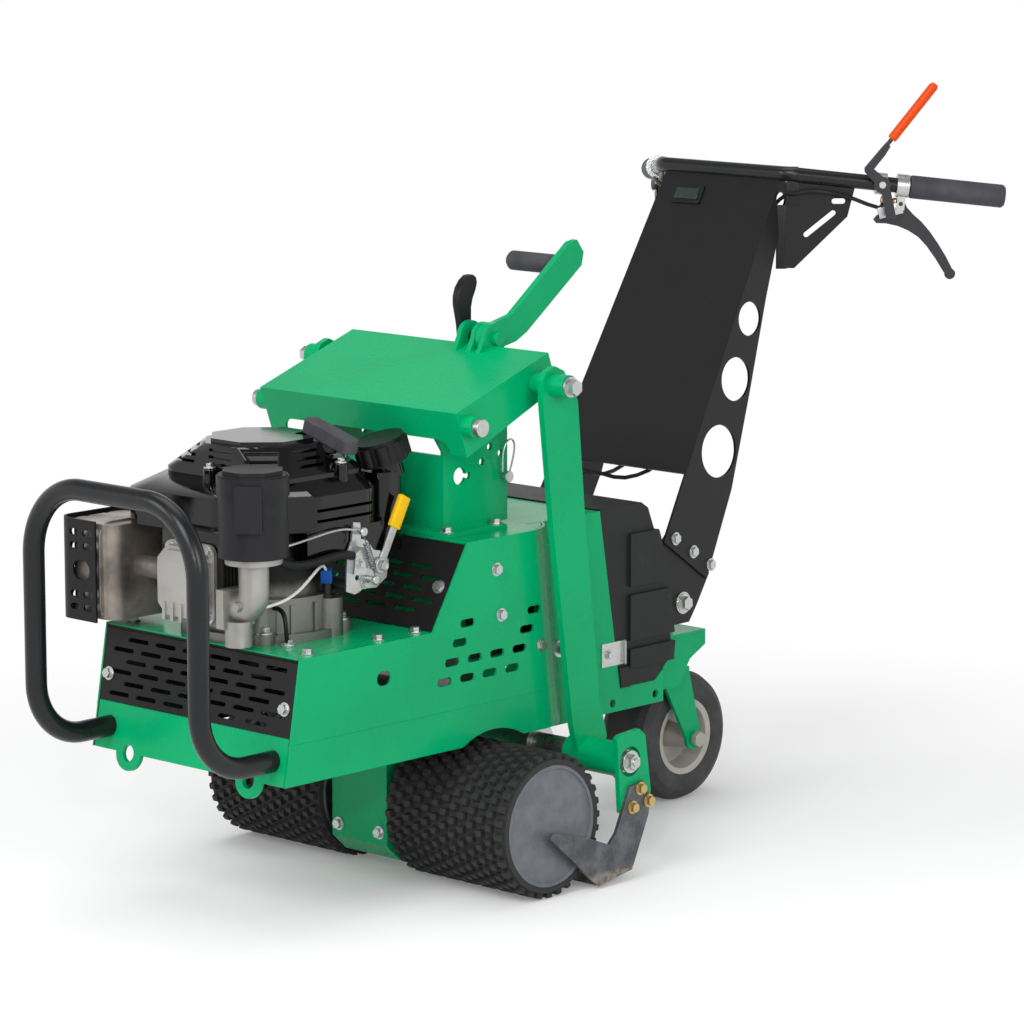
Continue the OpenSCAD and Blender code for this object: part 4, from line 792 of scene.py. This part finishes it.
@dataclass
class Body(Group):
    """Sheet body, deck, vents, stand and bumper.

    Attributes:
        pin_end: middle of the depth pin's outer end.
        bail: the wire's places beside that end.
        bail_radius: the wire's radius.
    """

    paints: dict[str, Paint] = field(default_factory=lambda: {
        "side_panels": Paint.SHADED_SHELL, "side_skirts": Paint.SHADED_SHELL, "engine_deck": Paint.SHADED_DECK,
        "front_vent": Paint.GRILLE, "tow_plate": Paint.BODY, "firewall_vent": Paint.GRILLE,
        "body_top_plate": Paint.BODY, "pedestal": Paint.BODY, "depth_pin": Paint.ZINC,
        "rear_side_plates": Paint.BODY, "bumper": Paint.TUBE, "frame_bolts": Paint.ZINC})
    edges: dict[str, float] = field(default_factory=lambda: {
        "bumper": 0.0, "frame_bolts": 0.5, "front_vent": 0.5, "firewall_vent": 0.5,
        "tow_plate": 1.2, "pedestal": 1.2})
    pin_end: Place = (139.0, 75.0, 555.0)
    bail: Path = ((-6, -5, 6), (-2, -11, 30), (-1, -5, 50), (-1, 12, 54), (-1, 16, 36), (-4, 7, 6))
    bail_radius: float = 1.3

    def pin_bail(self) -> None:
        """Loop the wire that keeps the depth pin in its hole."""
        x, y, z = self.pin_end
        loop = [spot(x + i, y + j, z + k) for i, j, k in self.bail]
        wire = Bench.rod("pin_bail", loop, self.bail_radius)
        Bench.seat(Bench.finish(wire, Paint.ZINC), "frame")

    def build(self) -> None:
        """Dress the nodes and wire the depth pin."""
        self.dress()
        self.pin_bail()


@dataclass
class Driveline(Group):
    """Drive drums with their treads, case, transaxle and belt."""

    paints: dict[str, Paint] = field(default_factory=lambda: {
        "drive_drums": Paint.DRUM, "wheel_treads": Paint.TREAD, "drive_case": Paint.CASE,
        "transaxle": Paint.CAST, "drive_belt": Paint.TREAD, "input_pulley": Paint.SHAFT})
    edges: dict[str, float] = field(default_factory=lambda: {"wheel_treads": 0.0, "drive_belt": 0.0})


@dataclass
class BladeUnit(Group):
    """Rocking head, lift lever, arms, blade and eccentric shaft."""

    paints: dict[str, Paint] = field(default_factory=lambda: {
        "hood": Paint.BODY, "hood_pivot": Paint.ZINC, "lift_lever": Paint.BODY, "lift_grip": Paint.GRIP,
        "latch_lever": Paint.KNOB, "arm_pivots": Paint.ZINC, "blade_arms": Paint.BODY,
        "blade": Paint.BLADE, "blade_bolts": Paint.GOLD, "eccentric_shaft": Paint.ZINC})
    edges: dict[str, float] = field(default_factory=lambda: {
        "hood": 1.5, "blade_arms": 1.2, "lift_lever": 1.6, "latch_lever": 2.5, "blade": 0.6})


@dataclass
class RearEnd(Group):
    """Rear shroud, caster mount and caster."""

    paints: dict[str, Paint] = field(default_factory=lambda: {
        "caster_mount": Paint.BODY, "rear_shroud": Paint.SHROUD, "caster_fork": Paint.BODY,
        "caster_rim": Paint.RIM, "caster_tyre": Paint.TYRE})
    edges: dict[str, float] = field(default_factory=lambda: {"rear_shroud": 5.0, "caster_tyre": 0.0})


@dataclass
class HandleUnit(Group):
    """Console, handlebar, levers and cables.

    Attributes:
        root: where the left handle tube leaves the console.
        along: direction of the left handle tube.
        yaw: that tube's turn from straight sideways, in degrees.
        clamp_at: place of the lever clamp along the tube.
        cable_drop: depth of the cable's end under the tube's middle.
        cheek: width, depth and height of a lever cheek.
        cheek_side: distance of a cheek from the lever's middle.
        cheek_fall: how the cheek falls, along the tube and over it.
        adjuster: height and radius of the rings of the cable's adjuster.
        web: width, depth and height of a gusset's web.
        web_at: the web's foot, seen from the root.
        flange: width, depth and height of a gusset's flange.
        flange_at: the flange's foot, seen from the root.
        meter: middle of the hour meter's face.
        display: width, depth and height of its display.
        console_lean: the console's lean in degrees.
    """

    paints: dict[str, Paint] = field(default_factory=lambda: {
        "console": Paint.PLATE, "console_brackets": Paint.PLATE, "console_isolators": Paint.ISOLATOR,
        "hour_meter": Paint.KNOB, "handlebar": Paint.TUBE, "handle_grips": Paint.GRIP,
        "handle_gussets": Paint.PLATE, "lever_clamps": Paint.ZINC, "control_cables": Paint.CABLE,
        "drive_lever": Paint.LEVER, "drive_lever_grip": Paint.ORANGE, "left_hand_lever": Paint.LEVER,
        "right_hand_lever": Paint.LEVER})
    edges: dict[str, float] = field(default_factory=lambda: {
        "handlebar": 0.0, "control_cables": 0.0, "handle_grips": 0.0, "console": 2.0, "left_hand_lever": 1.4,
        "right_hand_lever": 1.4})
    root: Place = (123.0, 690.959, 928.295)
    along: Place = (0.698183, 0.707748, -0.107856)
    yaw: float = 45.39
    clamp_at: float = 166.97
    cable_drop: float = 23.6
    cheek: Place = (1.8, 17.0, 36.0)
    cheek_side: float = 4.4
    cheek_fall: tuple[float, float] = (-30.0, -11.0)
    adjuster: Rings = (
        (0, 5.4), (4, 5.4), (4, 4.2), (17, 4.2), (17, 5.8), (22, 5.8), (23, 4.4))
    web: Place = (19.0, 3.4, 40.0)
    web_at: Place = (3.4, 3.4, -49.0)
    flange: Place = (16.0, 3.4, 94.0)
    flange_at: Place = (-7.7, -7.8, -139.0)
    meter: Place = (-52.0, 663.9, 891.1)
    display: Place = (43.0, 17.0, 1.4)
    console_lean: float = 29.2

    def axes(self, hand: int) -> tuple[Vector, Vector, Vector]:
        """Return the directions along, beside and over one side's handle tube.

        Args:
            hand: 1 for the operator's left, -1 for the right.

        Returns:
            The three directions.
        """
        along = Vector(self.along)
        turn = math.radians(self.yaw)
        beside = Vector((-math.sin(turn), math.cos(turn), 0))
        over = along.cross(beside)
        return tuple(Vector((hand * v.x, v.y, v.z)) for v in (along, beside, over))

    def on(self, hand: int, x: float, y: float, z: float) -> Vector:
        """Return a place on one side's handle tube, in metres of the part's frame."""
        along, beside, over = self.axes(hand)
        root = Vector((hand * self.root[0], self.root[1], self.root[2]))
        return spot(*(root + along * x + beside * y + over * z))

    def perch(self, hand: int, side: str) -> None:
        """Hold one hand lever between two cheeks, beside the cable's adjuster.

        Args:
            hand: 1 for the operator's left, -1 for the right.
            side: the same as a word, for the pieces' names.
        """
        along, _, over = self.axes(hand)
        fall = along * self.cheek_fall[0] + over * self.cheek_fall[1]
        for cheek, offset in (("front", -self.cheek_side), ("back", self.cheek_side)):
            plate = Bench.finish(Bench.block(f"{side}_{cheek}_cheek", self.cheek, 0.7), Paint.ZINC, 0.5)
            Bench.put(plate, self.on(hand, self.clamp_at + 3, offset, -31), fall, "frame")
        barrel = Bench.finish(Bench.turned(f"{side}_adjuster", self.adjuster, 20), Paint.GOLD, 0.4)
        Bench.put(barrel, self.on(hand, self.clamp_at - 7, 0, -self.cable_drop), -along, "frame")

    def gusset(self, hand: int, side: str) -> None:
        """Join one gusset to the console by its web and its flange.

        Args:
            hand: 1 for the operator's left, -1 for the right.
            side: the same as a word, for the pieces' names.
        """
        plates = (("web", self.web, self.web_at), ("flange", self.flange, self.flange_at))
        for name, size, (x, y, z) in plates:
            plate = Bench.finish(Bench.block(f"{side}_gusset_{name}", size, 0.96), Paint.PLATE, 0.8)
            foot = spot(hand * (self.root[0] + x), self.root[1] + y, self.root[2] + z)
            Bench.put(plate, foot, UP, "frame", hand * self.yaw)

    def meter_display(self) -> None:
        """Set the display into the hour meter's face."""
        lean = math.radians(self.console_lean)
        facing = (0, -math.cos(lean), math.sin(lean))
        display = Bench.finish(Bench.block("meter_display", self.display, 0.95), Paint.DISPLAY, 0.4)
        Bench.put(display, spot(*self.meter), facing, "frame")

    def build(self) -> None:
        """Dress the nodes and fit the small pieces."""
        self.dress()
        for hand, side in ((1, "left"), (-1, "right")):
            self.perch(hand, side)
            self.gusset(hand, side)
        self.meter_display()


@dataclass
class Engine(Group):
    """Engine with its housing, tank, air cleaner, muffler and controls.

    Places are in the engine's own millimetres.

    Attributes:
        origin: the engine's place in the machine.
        base_bolts: half the distance between two base screws.
        cover_screws: places of the valve cover's screws.
        boss_feet: places of the starter cover's bosses.
        boss: height and radius of a boss's rings.
        lever_pivot: the throttle lever's pivot.
        lever_turn: the throttle lever's lean in degrees.
        cap: width, depth and height of the lever's cap.
        cap_from: distance of the cap from the pivot.
        studs: places of the governor's studs.
        stud: height and radius of a stud's rings.
        spring_ends: low and high end of the governor spring.
        spring_turns: number of its turns.
        coil_radius: radius of a turn.
        governor_path: the governor rod's places.
        hose_path: the breather hose's places.
        sensor_foot: the oil sensor's foot.
        sensor: height and radius of the sensor's rings.
        plug: width, depth and height of the sensor's plug.
        plug_foot: the plug's foot.
        sensor_path: the sensor wire's places.
        ground_path: the ground wire's places.
        ground_screw: place of the ground wire's screw.
        duct: width, depth and height of the cylinder duct.
        duct_foot: the duct's foot.
    """

    paints: dict[str, Paint] = field(default_factory=lambda: {
        "engine_block": Paint.BLOCK, "valve_cover": Paint.COVER, "muffler": Paint.EXHAUST,
        "muffler_guard": Paint.GRILLE, "blower_housing": Paint.HOUSING, "starter_cover": Paint.HOUSING,
        "fuel_tank": Paint.HOUSING, "air_cleaner": Paint.CANISTER, "intake_elbow": Paint.CAST,
        "throttle_bracket": Paint.ZINC, "crankshaft": Paint.SHAFT, "throttle_lever": Paint.ZINC,
        "fuel_cap": Paint.KNOB, "starter_grip": Paint.GRIP})
    edges: dict[str, float] = field(default_factory=lambda: {
        "blower_housing": 5.0, "fuel_tank": 8.0, "valve_cover": 2.5, "starter_cover": 3.0,
        "muffler": 6.0, "starter_grip": 4.0, "fuel_cap": 2.5, "air_cleaner": 2.5, "throttle_lever": 0.3,
        "throttle_bracket": 0.3})
    origin: Place = (10.0, -262.0, 372.0)
    base_bolts: float = 70.7
    cover_screws: Path = ((38, -138, 128), (-38, -138, 128), (38, -138, 40), (-38, -138, 40))
    boss_feet: Path = ((-27, -75, 220), (86, 58, 224))
    boss: Rings = ((-20, 9.5), (4, 9.5), (6, 8), (6, 5))
    lever_pivot: Place = (114.6, 104.0, 88.0)
    lever_turn: float = 28.0
    cap: Place = (8.5, 19.0, 46.0)
    cap_from: float = 54.0
    studs: Path = ((111, 62, 140), (111, 84, 72))
    stud: Rings = (
        (-2, 4.6), (11, 4.6), (11, 6.2), (15, 6.2), (16, 5.2), (16, 3))
    spring_ends: Path = ((124, 84, 76), (124, 62, 136))
    spring_turns: int = 11
    coil_radius: float = 4.2
    governor_path: Path = (
        (106, -86, 132), (112, -60, 136), (113, -20, 141), (114, 20, 147), (117, 44, 146), (119, 62, 140))
    hose_path: Path = (
        (106, -90, 124), (114, -70, 110), (115, -40, 106), (115, 0, 109), (115, 34, 114), (114, 57, 106))
    sensor_foot: Place = (90.0, 26.0, 52.0)
    sensor: Rings = ((-3, 8.5), (5, 8.5), (5, 6.5), (22, 6.5), (24, 5))
    plug: Place = (15.0, 13.0, 19.0)
    plug_foot: Place = (90.0, 26.0, 73.0)
    sensor_path: Path = (
        (93, 22, 86), (97, 16, 102), (106, -8, 96), (108, -34, 76), (106, -62, 62), (103, -84, 58),
        (101, -106, 57))
    ground_path: Path = ((70, -58, 46), (96, -62, 52), (110, -68, 36), (108, -66, 14), (105, -62, 4))
    ground_screw: Place = (105.0, -60.0, 1.5)
    duct: Place = (112.0, 84.0, 34.0)
    duct_foot: Place = (-6.0, -88.0, 122.0)

    def at(self, x: float, y: float, z: float) -> Vector:
        """Return a place given in the engine's own millimetres as metres of the part's frame."""
        return spot(self.origin[0] + x, self.origin[1] + y, self.origin[2] + z)

    def path(self, places: Path) -> list[Vector]:
        """Return several places of the engine in metres."""
        return [self.at(*place) for place in places]

    def wire(self, name: str, places: Path, radius: float, paint: Paint) -> None:
        """Lay a wire, rod or hose along places of the engine.

        Args:
            name: the piece's name.
            places: where it runs.
            radius: its radius in millimetres.
            paint: its finish.
        """
        Bench.seat(Bench.finish(Bench.rod(name, self.path(places), radius), paint), "frame")

    def shroud(self) -> None:
        """Lead the cooling air from the blower housing over the cylinder's fins."""
        duct = Bench.finish(Bench.block("cylinder_duct", self.duct, 0.98), Paint.HOUSING, 4.0)
        Bench.put(duct, self.at(*self.duct_foot), UP, "frame")

    def screws(self) -> None:
        """Fasten the base, the valve cover and the starter cover."""
        reach = self.base_bolts
        base = ((reach, reach, 14), (-reach, reach, 14), (-reach, -reach, 14), (reach, -reach, 14))
        screw = Bench.screw("base_screw", 8.0, Paint.ZINC)
        Bench.twins(screw, self.path(base), UP, "frame")
        screw = Bench.screw("cover_screw", 4.6, Paint.ZINC)
        Bench.twins(screw, self.path(self.cover_screws), (0, -1, 0), "frame")
        boss = Bench.finish(Bench.turned("starter_boss", self.boss), Paint.HOUSING, 0.8)
        feet = self.path(self.boss_feet)
        Bench.twins(boss, feet, UP, "frame")
        screw = Bench.screw("starter_screw", 5.4, Paint.ZINC)
        top = Vector((0, 0, self.boss[-1][0] / MM))
        Bench.twins(screw, [foot + top for foot in feet], UP, "frame")

    def throttle(self) -> None:
        """Cap the throttle lever and nut its pivot."""
        turn = math.radians(self.lever_turn)
        along = Vector((0, math.sin(turn), math.cos(turn)))
        pivot = self.at(*self.lever_pivot)
        inward = Vector((-0.0015, 0, 0))
        cap = Bench.finish(Bench.block("lever_cap", self.cap, 0.72), Paint.YELLOW, 2.6)
        Bench.put(cap, pivot + along * self.cap_from / MM + inward, along, "throttle")
        nut = Bench.screw("lever_nut", 7.5, Paint.ZINC)
        Bench.put(nut, pivot, (1, 0, 0), "throttle")

    def governor(self) -> None:
        """Set the governor's studs, and string its spring and rod."""
        stud = Bench.finish(Bench.turned("governor_stud", self.stud), Paint.ZINC, 0.5)
        Bench.twins(stud, self.path(self.studs), (1, 0, 0), "frame")
        low, high = self.path(self.spring_ends)
        run = high - low
        side = run.cross(Vector((1, 0, 0))).normalized()
        coil = []
        steps = self.spring_turns * 10
        for step in range(steps + 1):
            turned = 2 * math.pi * step / 10
            ring = Vector((1, 0, 0)) * math.cos(turned) + side * math.sin(turned)
            coil.append(low + run * (0.2 + 0.6 * step / steps) + ring * self.coil_radius / MM)
        places = [low, low + run * 0.18, *coil, high - run * 0.18, high]
        spring = Bench.rod("governor_spring", places, 0.75, False)
        Bench.seat(Bench.finish(spring, Paint.SHAFT), "frame")
        self.wire("governor_rod", self.governor_path, 1.5, Paint.ZINC)

    def plumbing(self) -> None:
        """Run the breather hose, the sensor with its wire and the ground wire."""
        self.wire("breather_hose", self.hose_path, 6.0, Paint.CABLE)
        sensor = Bench.finish(Bench.turned("oil_sensor", self.sensor), Paint.KNOB, 0.6)
        Bench.put(sensor, self.at(*self.sensor_foot), UP, "frame")
        plug = Bench.finish(Bench.block("sensor_plug", self.plug, 0.8), Paint.BLUE, 1.4)
        Bench.put(plug, self.at(*self.plug_foot), (0.2, -0.25, 1), "frame")
        self.wire("sensor_wire", self.sensor_path, 2.1, Paint.WHITE)
        self.wire("ground_wire", self.ground_path, 3.2, Paint.CABLE)
        screw = Bench.screw("ground_screw", 6.5, Paint.ZINC)
        Bench.put(screw, self.at(*self.ground_screw), UP, "frame")

    def build(self) -> None:
        """Dress the nodes and fit the small pieces."""
        self.dress()
        self.shroud()
        self.screws()
        self.throttle()
        self.governor()
        self.plumbing()


@dataclass(frozen=True)
class Lamp:
    """A square soft light that faces the machine.

    Attributes:
        name: the lamp's name.
        place: its place in metres.
        size: its side in metres.
        power: its power in watts.
        aim: where it points, in metres.
    """

    name: str
    place: Place
    size: float
    power: float
    aim: Place = (0.0, 0.0, 0.45)

    def hang(self) -> None:
        """Hang the lamp."""
        data = bpy.data.lights.new(self.name, "AREA")
        data.size = self.size
        data.energy = self.power
        lamp = bpy.data.objects.new(self.name, data)
        lamp.location = self.place
        beam = Vector(self.aim) - Vector(self.place)
        lamp.rotation_euler = beam.to_track_quat("-Z", "Y").to_euler()
        bpy.context.scene.collection.objects.link(lamp)


@dataclass
class Studio:
    """White floor, soft lights and the photograph's camera.

    Attributes:
        azimuth: the camera's turn round the machine in degrees.
        elevation: the camera's height over the horizon in degrees.
        roll: the camera's roll in degrees.
        eye: the camera's place in metres.
        focal: focal length in pixels of the picture.
        floor_radius: the floor's radius in metres.
        fade: distances from the middle between which the floor turns white, in metres.
        lamps: the lights.
    """

    azimuth: float = 43.41
    elevation: float = 9.58
    roll: float = -0.1
    eye: Place = (4.1921, -4.39756, 1.4998)
    focal: float = 4346.55
    floor_radius: float = 40.0
    fade: tuple[float, float] = (0.7, 1.6)
    lamps: tuple[Lamp, ...] = (
        Lamp("key", (1.2, -4.0, 3.6), 2.2, 104), Lamp("side", (4.4, -1.0, 2.2), 1.8, 60),
        Lamp("top", (-0.6, 0.2, 4.4), 2.8, 46), Lamp("strip", (-1.6, -3.4, 2.4), 1.2, 26),
        Lamp("front", (3.6, -4.4, 2.3), 0.4, 40))

    def camera(self) -> None:
        """Set up the camera."""
        turn, rise = math.radians(self.azimuth), math.radians(self.elevation)
        back = Vector((math.sin(turn) * math.cos(rise), -math.cos(turn) * math.cos(rise), math.sin(rise)))
        right = Vector((math.cos(turn), math.sin(turn), 0))
        facing = Matrix((right, back.cross(right), back)).transposed()
        facing = facing @ Matrix.Rotation(math.radians(self.roll), 3, "Z")
        data = bpy.data.cameras.new("camera")
        data.sensor_width = SENSOR
        data.lens = self.focal / PICTURE * SENSOR
        data.clip_end = 100
        camera = bpy.data.objects.new("camera", data)
        camera.matrix_world = Matrix.Translation(self.eye) @ facing.to_4x4()
        bpy.context.scene.collection.objects.link(camera)
        bpy.context.scene.camera = camera

    @staticmethod
    def seen(graph: Graph) -> Sock:
        """Return one for the rays that show the background itself or its mirror image."""
        rays = [graph.node("ShaderNodeLightPath", out=f"Is {kind} Ray") for kind in
                ("Camera", "Glossy", "Transmission")]
        return graph.math("MINIMUM", rays[0] + rays[1] + rays[2], 1.0)

    def floor(self) -> None:
        """Lay a pale floor that keeps the shadow and fades to white away from the machine."""
        Bench.clear()
        bpy.ops.mesh.primitive_circle_add(vertices=96, radius=self.floor_radius, fill_type="NGON")
        floor = bpy.context.object
        floor.name = "floor"
        floor.location.z = -0.0006
        bpy.ops.object.transform_apply(location=True)
        graph = Graph(bpy.data.materials.new("floor_white"))
        away = graph.node("ShaderNodeVectorMath", {"operation": "LENGTH"}, {0: graph.place()}, "Value")
        seen = self.seen(graph)
        grain = graph.noise(300, 2)
        pale = graph.mix(grain, (0.86, 0.86, 0.86, 1), (0.9, 0.9, 0.9, 1))
        paper = graph.node("ShaderNodeBsdfDiffuse", {}, {"Color": pale})
        lift = graph.node("ShaderNodeEmission", {}, {"Color": (1, 1, 1, 1), "Strength": 0.16})
        lit = graph.node("ShaderNodeAddShader", {}, {0: paper, 1: lift})
        near = graph.node("ShaderNodeMixShader", {}, {0: seen, 1: paper, 2: lit})
        white = graph.node("ShaderNodeEmission", {}, {"Color": (1, 1, 1, 1), "Strength": 1.0})
        far = seen * away.ramp(*self.fade)
        fade = graph.node("ShaderNodeMixShader", {}, {0: far, 1: near, 2: white})
        graph.node("ShaderNodeOutputMaterial", {}, {"Surface": fade})
        floor.data.materials.append(graph.owner)

    def world(self) -> None:
        """Surround the machine with white walls under a ceiling that mirrors darker."""
        world = bpy.data.worlds.new("white_room")
        bpy.context.scene.world = world
        graph = Graph(world)
        ray = graph.node("ShaderNodeTexCoord", out="Generated")
        up = graph.node("ShaderNodeSeparateXYZ", {}, {0: ray}, "Z")
        sky = graph.mix(up.ramp(-0.2, 0.9), (0.42, 0.42, 0.43, 1), (0.7, 0.7, 0.71, 1))
        soft = graph.node("ShaderNodeBackground", {}, {"Color": sky, "Strength": 0.6})
        wall = graph.mix(up.ramp(0.2, 0.7), (1, 1, 1, 1), (0.3, 0.3, 0.31, 1))
        white = graph.node("ShaderNodeBackground", {}, {"Color": wall, "Strength": 1.0})
        seen = graph.node("ShaderNodeMixShader", {}, {0: self.seen(graph), 1: soft, 2: white})
        graph.node("ShaderNodeOutputWorld", {}, {"Surface": seen})

    def build(self) -> None:
        """Set the whole studio up."""
        self.camera()
        self.floor()
        self.world()
        for lamp in self.lamps:
            lamp.hang()
        bpy.context.scene.view_settings.view_transform = "Standard"
        LOG.info("studio set up")


def write_sizes() -> None:
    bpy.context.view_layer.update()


def main() -> None:
    """Build the sub-assemblies in order, then the studio."""
    logging.basicConfig(level=logging.INFO, format="%(name)s: %(message)s")
    for group in (Body(), Driveline(), BladeUnit(), RearEnd(), HandleUnit(), Engine()):
        group.build()
    Studio().build()
    write_sizes()


if __name__ == "__main__":
    main()
